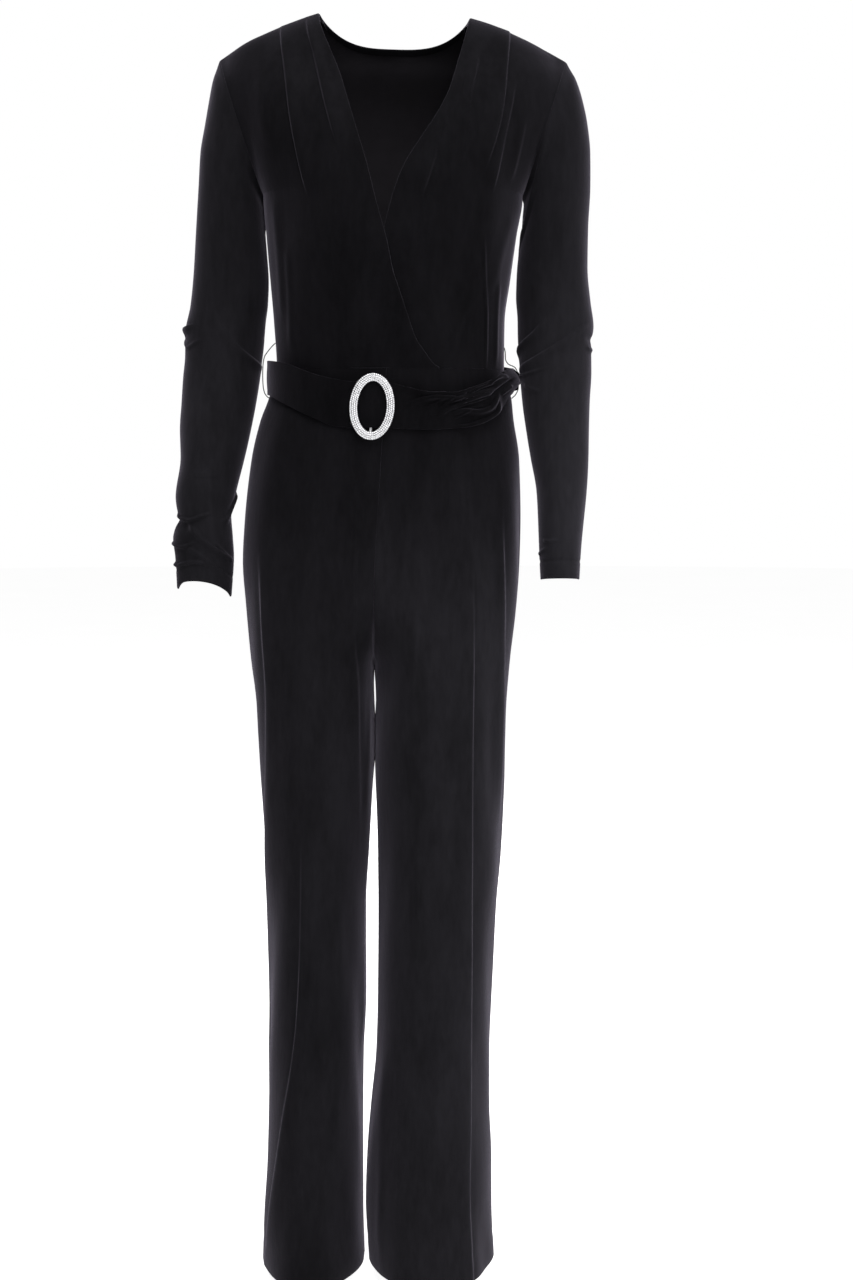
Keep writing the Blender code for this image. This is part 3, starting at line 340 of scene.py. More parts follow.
LEG_CREASES = {
    (RIGHT, FRONT): (
        pinch(0.0014, 0.002, (-0.053, -0.452), (-0.049, -0.48), (-0.046, -0.52), (-0.046, -0.56)),
        Crease(((-0.05, -0.5), (-0.04, -0.566), (-0.0435, -0.646), (-0.045, -0.712), (-0.043, -0.782),
                (-0.0395, -0.902), (-0.039, -0.99)), 0.0012, 0.0024, 0.009),
        pinch(0.0007, 0.0026, (-0.028, -0.77), (-0.029, -0.826), (-0.0315, -0.88), (-0.034, -0.94)),
        Crease(((-0.152, -0.6), (-0.147, -0.666), (-0.145, -0.712), (-0.142, -0.782), (-0.143, -0.851),
                (-0.146, -0.96), (-0.147, -1.08)), 0.0044, 0.01, 0.0034),
        Crease(((-0.102, -0.88), (-0.103, -0.98), *OUTER_LEG_LINE), 0.0024, 0.011, 0.0026),
        Crease(OUTER_LEG_LINE, 0.0024, 0.01, 0.0022),
        pinch(0.0016, 0.004, (-0.092, -0.96), (-0.094, -1.1), (-0.106, -1.19), (-0.114, -1.32)),
        pinch(0.0012, 0.006, (-0.061, -0.99), (-0.063, -1.08), (-0.066, -1.2), (-0.07, -1.34)),
        pinch(0.0012, 0.008, (-0.083, -1.14), (-0.08, -1.26), (-0.082, -1.4), (-0.084, -1.5)),
    ),
    (LEFT, FRONT): (
        Crease(((0.092, -0.56), (0.089, -0.64), (0.09, -0.74), (0.089, -0.851), (0.089, -0.944),
                (0.088, -1.049), (0.088, -1.179), (0.088, -1.286), (0.087, -1.37), (0.09, -1.48),
                (0.092, -1.6)), 0.0031, 0.0022, 0.012),
        Crease(((0.123, -0.56), (0.124, -0.617), (0.126, -0.692), (0.126, -0.77), (0.124, -0.851),
                (0.123, -0.96)), 0.0034, 0.0026, 0.007),
        pinch(0.001, 0.003, (0.028, -0.69), (0.025, -0.74), (0.023, -0.8)),
        pinch(0.0012, 0.009, (0.03, -0.9), (0.028, -1.02), (0.024, -1.16), (0.01, -1.33)),
        pinch(0.0012, 0.005, (-0.008, -1.19), (-0.014, -1.29), (-0.016, -1.4), (-0.014, -1.49)),
        pinch(0.0012, 0.009, (0.06, -0.82), (0.058, -0.96), (0.052, -1.12), (0.05, -1.33)),
    ),
    (RIGHT, BACK): (
        Crease(((-0.086, -0.69), (-0.084, -0.8), (-0.088, -0.94), (-0.092, -1.12), (-0.094, -1.3),
                (-0.096, -1.49)), 0.0048, 0.012, 0.0036),
        Crease(((-0.144, -0.68), (-0.14, -0.82), (-0.138, -0.98), (-0.141, -1.16)), 0.003, 0.009, 0.0034),
        pinch(0.002, 0.0045, (-0.036, -0.7), (-0.06, -0.735), (-0.092, -0.75)),
        pinch(0.0016, 0.004, (-0.034, -0.722), (-0.054, -0.762), (-0.08, -0.79)),
        pinch(0.0014, 0.008, (-0.058, -0.9), (-0.056, -1.06), (-0.054, -1.25), (-0.052, -1.44)),
        pinch(0.001, 0.006, (-0.09, -0.45), (-0.098, -0.5), (-0.104, -0.56)),
    ),
    (LEFT, BACK): (
        Crease(((0.058, -0.69), (0.056, -0.82), (0.06, -0.96), (0.062, -1.13), (0.06, -1.31), (0.061, -1.49)),
               0.0046, 0.0036, 0.012),
        Crease(((0.112, -0.69), (0.11, -0.84), (0.104, -1.0), (0.1, -1.2)), 0.0028, 0.0034, 0.009),
        pinch(0.002, 0.0045, (-0.008, -0.7), (0.018, -0.738), (0.052, -0.752)),
        pinch(0.0016, 0.004, (-0.012, -0.726), (0.01, -0.764), (0.036, -0.79)),
        pinch(0.0014, 0.008, (0.02, -0.92), (0.018, -1.08), (0.014, -1.26), (0.012, -1.45)),
        pinch(0.001, 0.006, (0.074, -0.45), (0.084, -0.505), (0.088, -0.56)),
    ),
}
# On the belt, the gathers leave the pinched end at the wearer's left and fan towards the buckle.
BELT_CREASES = (
    Crease(((0.134, -0.409), (0.115, -0.414), (0.1, -0.42), (0.08, -0.428), (0.064, -0.432), (0.046, -0.433),
            (0.028, -0.429), (0.004, -0.424)), 0.0044, 0.005, 0.0016),
    Crease(((0.124, -0.424), (0.104, -0.43), (0.09, -0.434), (0.072, -0.438), (0.05, -0.437), (0.032, -0.44),
            (0.02, -0.446), (0.01, -0.456)), 0.0034, 0.0034, 0.0013),
    Crease(((0.122, -0.429), (0.104, -0.434), (0.084, -0.441), (0.066, -0.449), (0.05, -0.458),
            (0.038, -0.462)), 0.0029, 0.0028, 0.0012),
    Crease(((0.1215, -0.431), (0.115, -0.442), (0.1095, -0.449), (0.096, -0.453), (0.082, -0.452),
            (0.06, -0.456)), 0.0039, 0.0036, 0.0013),
    Crease(((0.121, -0.437), (0.119, -0.452), (0.108, -0.461), (0.096, -0.466), (0.08, -0.47),
            (0.064, -0.47)), 0.0031, 0.0034, 0.0012),
    pinch(0.002, 0.0011, (0.118, -0.42), (0.1, -0.426), (0.086, -0.433), (0.07, -0.441), (0.056, -0.446)),
    pinch(0.0017, 0.001, (0.11, -0.436), (0.096, -0.441), (0.08, -0.446), (0.062, -0.452)),
    pinch(0.0017, 0.001, (0.05, -0.452), (0.06, -0.444), (0.07, -0.436), (0.086, -0.43)),
    pinch(0.0014, 0.001, (0.034, -0.452), (0.044, -0.446), (0.058, -0.438)),
    pinch(0.0014, 0.001, (0.104, -0.446), (0.092, -0.449), (0.076, -0.458), (0.064, -0.464)),
    pinch(0.0012, 0.0012, (0.011, -0.452), (0.011, -0.462), (0.012, -0.472)),
    pinch(0.0032, 0.0018, (0.102, -0.42), (0.11, -0.411), (0.119, -0.407), (0.13, -0.408)),
    pinch(0.0023, 0.0016, (0.107, -0.424), (0.115, -0.416), (0.124, -0.413), (0.133, -0.415)),
    pinch(-0.0026, 0.0022, (0.108, -0.436), (0.12, -0.428), (0.131, -0.42), (0.14, -0.414)),
    pinch(0.0029, 0.0018, (0.122, -0.434), (0.13, -0.428), (0.137, -0.423)),
)
BUNCH_RISE = 0.0075      # the gathers stand out this far where they pass the left side seam
BUNCH_REACH = math.radians(15)
BUNCH_ROUND = 1.5        # and fall off to both edges of the strip with this power
# On the back stretch they run on as a few folds, each at a share of the strip's width.
Fold = namedtuple("Fold", "level lean rise")
BACK_FOLDS = (
    Fold(0.22, 0.10, 0.0026), Fold(0.48, -0.04, 0.0030), Fold(0.74, -0.16, 0.0026), Fold(0.90, 0.02, 0.0014),
)
BACK_FOLD_WIDTH = 0.085
BACK_FOLD_RUN = 0.3      # share of the stretch over which a fold leans as far as its row says,
BACK_FOLD_FADE = (0.02, 0.36)    # and over which the folds die away

# Soft unevenness of the whole cloth: its rise, radians per metre along each axis, and phase.
Wave = namedtuple("Wave", "rise x y z phase")
DRAPE_WAVES = (
    Wave(0.00050, 62.0, 38.0, 9.0, 0.3),
    Wave(0.00045, -48.0, 71.0, 13.0, 1.9),
    Wave(0.00035, 95.0, -24.0, -17.0, 4.1),
    Wave(0.00028, 24.0, 88.0, 31.0, 2.6),
    Wave(0.00020, 130.0, 44.0, -22.0, 5.2),
)


# ---------------------------------------- curves through tables
def mix(a, b, share):
    return a + (b - a) * share


def ramp(low, high, at):
    share = np.clip((at - low) / (high - low), 0.0, 1.0)
    return share * share * (3 - 2 * share)


def unit(vectors):
    return vectors / np.maximum(np.linalg.norm(vectors, axis=-1, keepdims=True), 1e-12)


def reach_along(line):
    """Length of a line of points from its start to each of them."""
    return np.concatenate([[0.0], np.cumsum(np.linalg.norm(np.diff(line, axis=0), axis=1))])


def smooth_value(keys, values, at):
    """Values of a smooth curve through rising keys, which never overshoots them."""
    keys = np.asarray(keys, float)
    values = np.asarray(values, float)
    trailing = (1,) * (values.ndim - 1)
    rates = np.diff(values, axis=0) / np.diff(keys).reshape((-1,) + trailing)
    before, after = rates[:-1], rates[1:]
    turning = before * after <= 0
    slopes = np.where(turning, 0.0, 2 * before * after / np.where(turning, 1.0, before + after))
    slopes = np.concatenate([rates[:1], slopes, rates[-1:]])
    at = np.clip(np.asarray(at, float), keys[0], keys[-1])
    spot = np.clip(np.searchsorted(keys, at, side="right") - 1, 0, len(keys) - 2)
    span = (keys[spot + 1] - keys[spot]).reshape(at.shape + trailing)
    f = (at - keys[spot]).reshape(at.shape + trailing) / span
    start = (1 + 2 * f) * (1 - f) ** 2 * values[spot] + f * (1 - f) ** 2 * span * slopes[spot]
    return start + f * f * (3 - 2 * f) * values[spot + 1] + f * f * (f - 1) * span * slopes[spot + 1]


def read(rows, key, at):
    """A table's columns at each place, smooth between its rows."""
    ordered = sorted(rows, key=lambda row: getattr(row, key))
    keys = [getattr(row, key) for row in ordered]
    return type(rows[0])(*(smooth_value(keys, column, at) for column in zip(*ordered)))


# ---------------------------------------- the body form
def side_seam_x(side, z):
    low, high = UNDERARM[side], SHOULDER_POINT[side]
    above = mix(low.x, high.x, np.clip((z - low.z) / (high.z - low.z), 0.0, 1.0))
    row = read(TORSO, "z", z)
    return np.where(z > low.z, above, row.right if side == RIGHT else row.left)


def armhole_half_depth(side, z):
    low, high = UNDERARM[side].z, SHOULDER_POINT[side].z
    level = (z - (low + high) / 2) / ((high - low) / 2)
    return np.where(z > low, ARMHOLE_DEPTH * np.sqrt(np.maximum(0.0, 1 - level * level)), 0.0)


def by_side(x, middle, value):
    return np.where(x < middle, value(RIGHT), value(LEFT))


def shoulder_arch(side, along):
    """How far the shoulder seam lies above the straight line between its ends."""
    return SHOULDER_BOW[side] * 4 * along * (1 - along)


def shoulder_line(x):
    right, left = NECK_POINT[RIGHT], NECK_POINT[LEFT]
    between = mix(right.z, left.z, (x - right.x) / (left.x - right.x))

    def slope(side):
        neck, point = NECK_POINT[side], SHOULDER_POINT[side]
        along = np.clip((x - neck.x) / (point.x - neck.x), 0.0, 1.0)
        return mix(neck.z, point.z, along) + shoulder_arch(side, along)

    return np.where((x > right.x) & (x < left.x), between, by_side(x, 0.0, slope))


def body_depth(x, z, facing):
    """Y of the cloth in front of or behind the body."""
    row = read(TORSO, "z", z)
    middle = (row.right + row.left) / 2
    limit = by_side(x, middle, lambda side: side_seam_x(side, z))
    across = np.clip((x - middle) / (limit - middle), 0.0, 1.0)
    edge = by_side(x, middle, lambda side: armhole_half_depth(side, z))
    full = -row.front if facing == FRONT else row.back
    form = full * (1 - across ** BODY_ROUNDNESS) ** (1 / BODY_ROUNDNESS)
    drop = np.clip((shoulder_line(x) - z) / SHOULDER_ROLL, 0.0, 1.0)
    roll = np.sqrt(1 - (1 - drop) ** 2)
    return facing * (form ** ARMHOLE_BLEND + edge ** ARMHOLE_BLEND) ** (1 / ARMHOLE_BLEND) * roll


# ---------------------------------------- creases and drape
CREASE_REACH = 3.5       # beyond this many widths a crease is gone
CREASE_STEPS = 5         # steps of its smooth line for each of its points
CREASE_LIFT = 1.15       # all creases are raised by this
CREASE_GROWS = (0.0, 0.20)       # shares of its length over which it rises,
CREASE_DIES = (0.75, 1.0)        # and sinks again
STEEP_WIDTH = 0.0031     # a crease that is narrower than this
STEEPENED = 0.85         # is narrowed to this share


def crease_rise(creases, across, height):
    """How far creases lift the cloth at (across, height), both in metres."""
    places = np.stack(np.broadcast_arrays(across, height), axis=-1)
    total = np.zeros(places.shape[:-1])
    for crease in creases:
        line = np.array(crease.line, float)
        reach = reach_along(line)
        line = smooth_value(reach, line, np.linspace(0, reach[-1], CREASE_STEPS * len(line)))
        pieces = np.diff(line, axis=0)
        lengths = np.linalg.norm(pieces, axis=1)
        starts = reach_along(line)
        margin = CREASE_REACH * max(crease.left, crease.right)
        near = np.all((places > line.min(axis=0) - margin) & (places < line.max(axis=0) + margin), axis=-1)
        spot = places[near]
        nearest = np.full(len(spot), np.inf)
        signed = np.zeros(len(spot))
        along = np.zeros(len(spot))
        for begin, piece, length, start in zip(line, pieces, lengths, starts):
            offset = spot - begin
            share = np.clip(offset @ piece / length ** 2, 0.0, 1.0)
            away = np.linalg.norm(offset - share[..., None] * piece, axis=-1)
            side = piece[0] * offset[..., 1] - piece[1] * offset[..., 0]
            closer = away < nearest
            nearest = np.where(closer, away, nearest)
            signed = np.where(closer, np.sign(side), signed)
            along = np.where(closer, (start + share * length) / starts[-1], along)
        width = np.where(signed > 0, crease.left, crease.right)
        width = np.where(width < STEEP_WIDTH, width * STEEPENED, width)
        fade = ramp(*CREASE_GROWS, along) * (1 - ramp(*CREASE_DIES, along))
        total[near] += crease.rise * CREASE_LIFT * fade * np.exp(-(nearest / width) ** 2)
    return total


def drape(points):
    total = np.zeros(points.shape[:-1])
    for wave in DRAPE_WAVES:
        total += wave.rise * np.sin(points @ np.array((wave.x, wave.y, wave.z)) + wave.phase)
    return total


def surface_normals(points, closed=False):
    """Outward normals of a grid of points, whose columns go all round where it is closed."""
    if closed:
        along = (np.roll(points, -1, axis=1) - np.roll(points, 1, axis=1)) / 2
    else:
        along = np.gradient(points, axis=1)
    cross = unit(np.cross(along, np.gradient(points, axis=0)))
    outward = np.sum(cross * (points - points.mean(axis=1, keepdims=True))) > 0
    return cross if outward else -cross


def distance_from(points, axis, at_end):
    """Distance of each point along the grid from one of its edges."""
    steps = np.linalg.norm(np.diff(points, axis=axis), axis=-1)
    if at_end:
        steps = np.flip(steps, axis)
    zero = np.zeros_like(np.take(steps, [0], axis=axis))
    total = np.concatenate([zero, np.cumsum(steps, axis=axis)], axis=axis)
    return np.flip(total, axis) if at_end else total


ROW_START, ROW_END, COLUMN_START, COLUMN_END = (0, False), (0, True), (1, False), (1, True)
CREASE_CALM = 0.004      # creases die away over this distance from a seam,
DRAPE_CALM = 0.014       # and the soft drape over this one


def lifted(points, creases, soft, seams, closed=False):
    """The grid moved out by its creases and its soft drape, which fade to nothing at its seams."""
    for axis, at_end in seams:
        gap = distance_from(points, axis, at_end)
        creases = creases * ramp(0.0, CREASE_CALM, gap)
        soft = soft * ramp(0.0, DRAPE_CALM, gap)
    return points + surface_normals(points, closed) * (creases + soft)[..., None]


# ---------------------------------------- turned edges and shells
TURN_CLEAR = 0.0016      # the last row before a turned edge lies this far from it
TURN_STEPS = 9
SEAM_STEPS = 4           # of these, as many go round the bend at a seam,
FOLD_STEPS = 6           # and as many round the bend of a fold
HEM_START = 0.002        # a folded hem runs this far straight back before it follows the cloth


def bend_steps(half, bend, angle, count):
    """Steps round a bend of the cloth: how far short of its edge, and how deep."""
    return [(half + bend * (1 - math.sin(a)), bend * (1 - math.cos(a))) for a in np.linspace(0, angle, count)]


def seam_turn(sizes, allowance):
    """Steps of an edge turned in at a seam."""
    half, bend = sizes.cloth_wall / 2, sizes.seam_bend
    steps = bend_steps(half, bend, math.pi / 2, SEAM_STEPS)
    left = TURN_STEPS - len(steps)
    return np.array(steps + [(half, bend + allowance * (i + 1) / left) for i in range(left)])


def hem_turn(sizes, back):
    """Steps of an edge folded back on itself."""
    half, bend = sizes.cloth_wall / 2, sizes.turn_radius
    steps = bend_steps(half, bend, math.pi, FOLD_STEPS)
    left = TURN_STEPS - len(steps)
    return np.array(steps + [(half + bend + back * (i + 1) / left, 2 * bend) for i in range(left)])


def turned(points, normals, edge, turn, back=0.0):
    """Turns one edge of a grid under. Where back is given, the cloth then runs back that far."""
    axis, at_end = edge
    if axis == 1:
        points, normals = points.swapaxes(0, 1), normals.swapaxes(0, 1)
    if not at_end:
        points, normals = points[::-1], normals[::-1]
    gap = np.linalg.norm(points - points[-1], axis=-1)
    last = max(np.nonzero(gap.min(axis=1) > TURN_CLEAR)[0])
    out = unit(points[-1] - points[last])
    across = unit(normals[-1] - out * np.sum(normals[-1] * out, axis=-1, keepdims=True))
    if turn.ndim == 2:
        turn = np.repeat(turn[:, None], points.shape[1], axis=1)
    rows = [points[-1] - out * step[:, :1] - across * step[:, 1:] for step in turn]
    row_normals = [across] * len(rows)
    if back:
        for i in range(last, -1, -1):
            if gap[i].mean() < back:
                rows.append(points[i] - normals[i] * turn[-1, :, 1:])
                row_normals.append(normals[i])
    points = np.concatenate([points[:last + 1], rows])
    normals = np.concatenate([normals[:last + 1], row_normals])
    if not at_end:
        points, normals = points[::-1], normals[::-1]
    if axis == 1:
        points, normals = points.swapaxes(0, 1), normals.swapaxes(0, 1)
    return points, normals


RIM_ANGLE = math.radians(75)     # a raw rim is sharp, and no crease is


def add_object(name, data):
    made = bpy.data.objects.new(name, data)
    bpy.context.scene.collection.objects.link(made)
    return made


def add_cloth(name, points, base_normals, half, materials, closed=False):
    """A closed shell on both sides of a grid: its face is the first material, its reverse the second."""
    normals = surface_normals(points, closed)
    if np.sum(normals * base_normals) < 0:
        normals = -normals
    along = np.roll(points, -1, axis=1) - points if closed else np.gradient(points, axis=1)
    forward = np.sum(np.cross(along, np.gradient(points, axis=0)) * normals) > 0
    half = np.broadcast_to(half, points.shape[:2])[..., None]
    rows, columns = points.shape[:2]
    sheet = rows * columns
    corners = np.concatenate([(points + normals * half).reshape(-1, 3),
                              (points - normals * half).reshape(-1, 3)])
    across = columns if closed else columns - 1
    r, c = np.meshgrid(np.arange(rows - 1), np.arange(across), indexing="ij")
    a = (r * columns + c).ravel()
    b = (r * columns + (c + 1) % columns).ravel()
    outer = np.stack([a, b, b + columns, a + columns], axis=1)
    rim = [((0, i), (0, (i + 1) % columns)) for i in range(across)]
    rim += [((rows - 1, (i + 1) % columns), (rows - 1, i)) for i in range(across)]
    if not closed:
        rim += [((i, columns - 1), (i + 1, columns - 1)) for i in range(rows - 1)]
        rim += [((i + 1, 0), (i, 0)) for i in range(rows - 1)]
    ends = np.array([[p[0] * columns + p[1], q[0] * columns + q[1]] for p, q in rim])
    edge = np.stack([ends[:, 1], ends[:, 0], ends[:, 0] + sheet, ends[:, 1] + sheet], axis=1)
    inner = outer[:, ::-1] + sheet
    faces = np.concatenate([outer, edge, inner])
    if not forward:
        faces = faces[:, ::-1]
    mesh = bpy.data.meshes.new(name)
    mesh.from_pydata(corners.tolist(), [], faces.tolist())
    reverse = np.zeros(len(faces), int)
    reverse[-len(inner):] = 1
    for finish in materials:
        mesh.materials.append(finish)
    mesh.polygons.foreach_set("material_index", reverse)
    mesh.shade_smooth()
    mesh.set_sharp_from_angle(angle=RIM_ANGLE)
    mesh.update()
    return add_object(name, mesh)


def add_piece(name, points, edges, sizes, materials, closed=False):
    """The cloth piece of a grid, whose edges are turned in one after another."""
    normals = surface_normals(points, closed)
    for edge, *turn in edges:
        points, normals = turned(points, normals, edge, *turn)
    return add_cloth(name, points, normals, sizes.cloth_wall / 2, materials, closed)


def dress(piece, node):
    """Lets the piece stand for a solid."""
    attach(piece, "root")
    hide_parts(node)


# ---------------------------------------- bodice
def armhole_shares(count):
    return (1 - np.cos(np.pi * np.arange(1, count + 1) / count)) / 2


def front_bodice_points(side, detail):
    share = np.arange(detail.side_rows + 1) / detail.side_rows
    high = armhole_shares(detail.armhole_rows)
    under, shoulder, neck = UNDERARM[side], SHOULDER_POINT[side], NECK_POINT[side]
    waist = WAIST + SEAM_HALF
    inner_z = np.concatenate([mix(waist, CHEST, share), mix(CHEST, neck.z, high)])
    outer_z = np.concatenate([mix(waist, under.z, share), mix(under.z, shoulder.z, high)])
    inner_x = read(WRAP_EDGE[side], "z", inner_z).x
    outer_x = side_seam_x(side, outer_z)
    row = read(TORSO, "z", inner_z)
    middle = (row.right + row.left) / 2
    sine = np.clip((inner_x - middle) / (outer_x - middle), -INNER_SINE, INNER_SINE)[:, None]
    angle = mix(np.arcsin(sine), np.pi / 2, np.linspace(0, 1, detail.bodice_columns + 1)[None])
    along = (np.sin(angle) - sine) / (1 - sine)
    x = mix(inner_x[:, None], outer_x[:, None], along)
    up = np.concatenate([0 * share, high])[:, None]
    z = mix(inner_z[:, None], outer_z[:, None], along) + shoulder_arch(side, along) * up
    y = body_depth(x, z, FRONT)
    overlap = ramp(*OVERLAP_RIGHT, x) * (1 - ramp(*OVERLAP_LEFT, x)) * (1 - ramp(*OVERLAP_TOP, z))
    at_waist = 1 - ramp(WAIST, WAIST + OVERLAP_WAIST, z)
    overlap *= 1 - at_waist * (1 if side == RIGHT else ramp(*WRAP_END, x))
    y = y + side * LAYER_STEP * overlap * ramp(0.0, OVERLAP_DEPTH, np.abs(y))
    return np.stack([x, y, z], axis=-1)


FRONT_CALM = (0.003, 0.016)      # pleats die away between these distances from the free front edge


def make_front_bodice(name, side, sizes, detail, materials):
    points = front_bodice_points(side, detail)
    rise = crease_rise(BODICE_CREASES[side], points[..., 0], points[..., 2])
    rise *= ramp(*FRONT_CALM, distance_from(points, *COLUMN_START))
    points = lifted(points, rise, drape(points), (ROW_START, ROW_END, COLUMN_END))
    seam = seam_turn(sizes, sizes.seam_allowance)
    edges = ((COLUMN_START, hem_turn(sizes, sizes.front_turn)), (COLUMN_END, seam), (ROW_END, seam))
    return add_piece(name, points, edges, sizes, materials)


def back_bodice_points(detail):
    span = {side: NECK_POINT[side].x / SHOULDER_POINT[side].x for side in (RIGHT, LEFT)}
    count = detail.shoulder_columns
    outer = np.arange(count) / count
    spots = np.concatenate([
        -np.sin(mix(np.pi / 2, math.asin(span[RIGHT]), outer)),
        np.linspace(-span[RIGHT], span[LEFT], detail.neck_columns + 1),
        np.sin(mix(math.asin(span[LEFT]), np.pi / 2, np.arange(1, count + 1) / count)),
    ])[None]
    shoulder_x = np.abs(spots) * by_side(spots, 0.0, lambda side: SHOULDER_POINT[side].x)
    neck_x = by_side(spots, 0.0, lambda side: NECK_POINT[side].x)
    inside = np.minimum(1.0, np.abs(shoulder_x / neck_x))
    top = shoulder_line(shoulder_x) - BACK_NECK_DROP * (1 - inside ** BACK_NECK_CURVE)
    low = np.concatenate([np.arange(detail.side_rows + 1) / detail.side_rows,
                          np.ones(detail.armhole_rows)])[:, None]
    high = np.concatenate([np.zeros(detail.side_rows + 1), armhole_shares(detail.armhole_rows)])[:, None]
    z = mix(mix(WAIST + SEAM_HALF, UNDERARM[RIGHT].z, low), top, high)
    row = read(TORSO, "z", z)
    middle = (row.right + row.left) / 2
    limit = by_side(spots, 0.0, lambda side: side_seam_x(side, z))
    x = mix(middle, limit, np.abs(spots))
    return np.stack([x, body_depth(x, z, BACK), z], axis=-1), inside[0]


BACK_NECK_END = (0.90, 1.0)      # the folded neck edge turns into the seam between these shares


def make_back_bodice(name, sizes, detail, materials):
    points, inside = back_bodice_points(detail)
    rise = crease_rise(BACK_CREASES, points[..., 0], points[..., 2])
    points = lifted(points, rise, drape(points), (ROW_START, ROW_END, COLUMN_START, COLUMN_END))
    in_neck = (1 - ramp(*BACK_NECK_END, inside))[None, :, None]
    seam, fold = seam_turn(sizes, sizes.seam_allowance), hem_turn(sizes, sizes.front_turn)
    top = mix(seam[:, None], fold[:, None], in_neck)
    edges = ((ROW_END, top), (COLUMN_START, seam), (COLUMN_END, seam))
    return add_piece(name, points, edges, sizes, materials)


# ---------------------------------------- sleeves
CREASED_LEVELS = ((-0.385, 0.050), (-0.600, 0.062))     # middle and half height of the creased stretches
CROWD_POWER = 4          # the higher, the more squarely those stretches end
SLEEVE_STEPS = 2000      # places along a sleeve at which its crowding is worked out


def sleeve_points(side, detail):
    turns = 2 * np.pi * np.arange(detail.sleeve_columns) / detail.sleeve_columns
    low, high = UNDERARM[side], SHOULDER_POINT[side]
    z = mix(low.z, high.z, (1 + np.cos(turns)) / 2)
    x = side_seam_x(side, z)
    y = np.where(np.sin(turns) > 0, body_depth(x, z, FRONT), body_depth(x, z, BACK))
    rings = [np.stack([x, y, z], axis=-1)]
    for ring in SLEEVES[side]:
        near_end = 1 - min(1.0, (ring.outer_z - SLEEVES[side][-1].outer_z) / ARCH_REACH)
        arch = CUFF_ARCH[side] * near_end * np.abs(np.sin(turns))
        rings.append(np.stack([
            mix(ring.inner_x, ring.outer_x, (1 + np.cos(turns)) / 2),
            (ring.front + ring.back) / 2 - (ring.back - ring.front) / 2 * np.sin(turns),
            mix(ring.inner_z, ring.outer_z, (1 + np.cos(turns)) / 2) + arch,
        ], axis=-1))
    rings = np.array(rings)
    middles = rings.mean(axis=1)
    reach = reach_along(middles)
    fine = np.linspace(0, reach[-1], SLEEVE_STEPS)
    level = smooth_value(reach, middles[:, 2], fine)
    crowd = np.cumsum(1 + sum(detail.sleeve_crowding * np.exp(-((level - middle) / half) ** CROWD_POWER)
                              for middle, half in CREASED_LEVELS))
    places = np.interp(np.linspace(crowd[0], crowd[-1], detail.sleeve_rows), crowd, fine)
    return smooth_value(reach, rings, places), turns


SLEEVE_RADIUS = 0.045    # turns an angle into a width for the creases


def sleeve_crease_rise(creases, turns, height):
    """The creases of a tube, whose angles meet themselves again all round."""
    scaled = [crease._replace(line=[(math.radians(a) * SLEEVE_RADIUS, z) for a, z in crease.line])
              for crease in creases]
    total = 0.0
    for lap in (-2 * math.pi, 0.0, 2 * math.pi):
        total = total + crease_rise(scaled, (turns + lap)[None] * SLEEVE_RADIUS, height)
    return total


def hem_seam(points, hem, half):
    """The line on the face of a tube that runs round it at the hem's width, and its normals."""
    normals = surface_normals(points, closed=True)
    gap = distance_from(points, *ROW_END)
    spots, directions = [], []
    for column in range(points.shape[1]):
        along = gap[::-1, column]
        spot, direction = (np.array([np.interp(hem, along, grid[::-1, column, axis]) for axis in range(3)])
                           for grid in (points, normals))
        spots.append(spot + direction * half)
        directions.append(direction)
    return np.array(spots + spots[:1]), np.array(directions + directions[:1])


def hem_groove(points, hem, sizes):
    """How deep the stitches of a hem draw the cloth in."""
    away = distance_from(points, *ROW_END) - hem
    return sizes.hem_sink * np.exp(-(away / sizes.hem_line_width) ** 2)


def make_sleeve(name, side, sizes, detail, materials):
    points, turns = sleeve_points(side, detail)
    rise = sleeve_crease_rise(SLEEVE_CREASES[side], turns, points[..., 2])
    rise = rise - hem_groove(points, sizes.cuff_hem, sizes)
    points = lifted(points, rise, drape(points), (ROW_START,), closed=True)
    stitch_line = hem_seam(points, sizes.cuff_hem, sizes.cloth_wall / 2)
    edges = ((ROW_START, seam_turn(sizes, sizes.seam_allowance)),
             (ROW_END, hem_turn(sizes, HEM_START), sizes.cuff_hem))
    return add_piece(name, points, edges, sizes, materials, closed=True), stitch_line


# ---------------------------------------- trousers
LEDGE_REACH = 0.014      # the ledge at the crotch is softened over this height,
LEDGE_CLEAR = 0.005      # but not this close to the rise and the inner leg seam,
LEDGE_SPREAD = 3         # and up to this many reaches from it


def eased(values, z, level):
    """Columns of values whose ledge at one level is softened."""
    weights = np.exp(-((z - z.T) / LEDGE_REACH) ** 2) * np.abs(np.gradient(z, axis=0)).T
    smooth = weights @ values / weights.sum(axis=1, keepdims=True)
    return mix(values, smooth, np.exp(-((z - level) / (LEDGE_SPREAD * LEDGE_REACH)) ** 2))


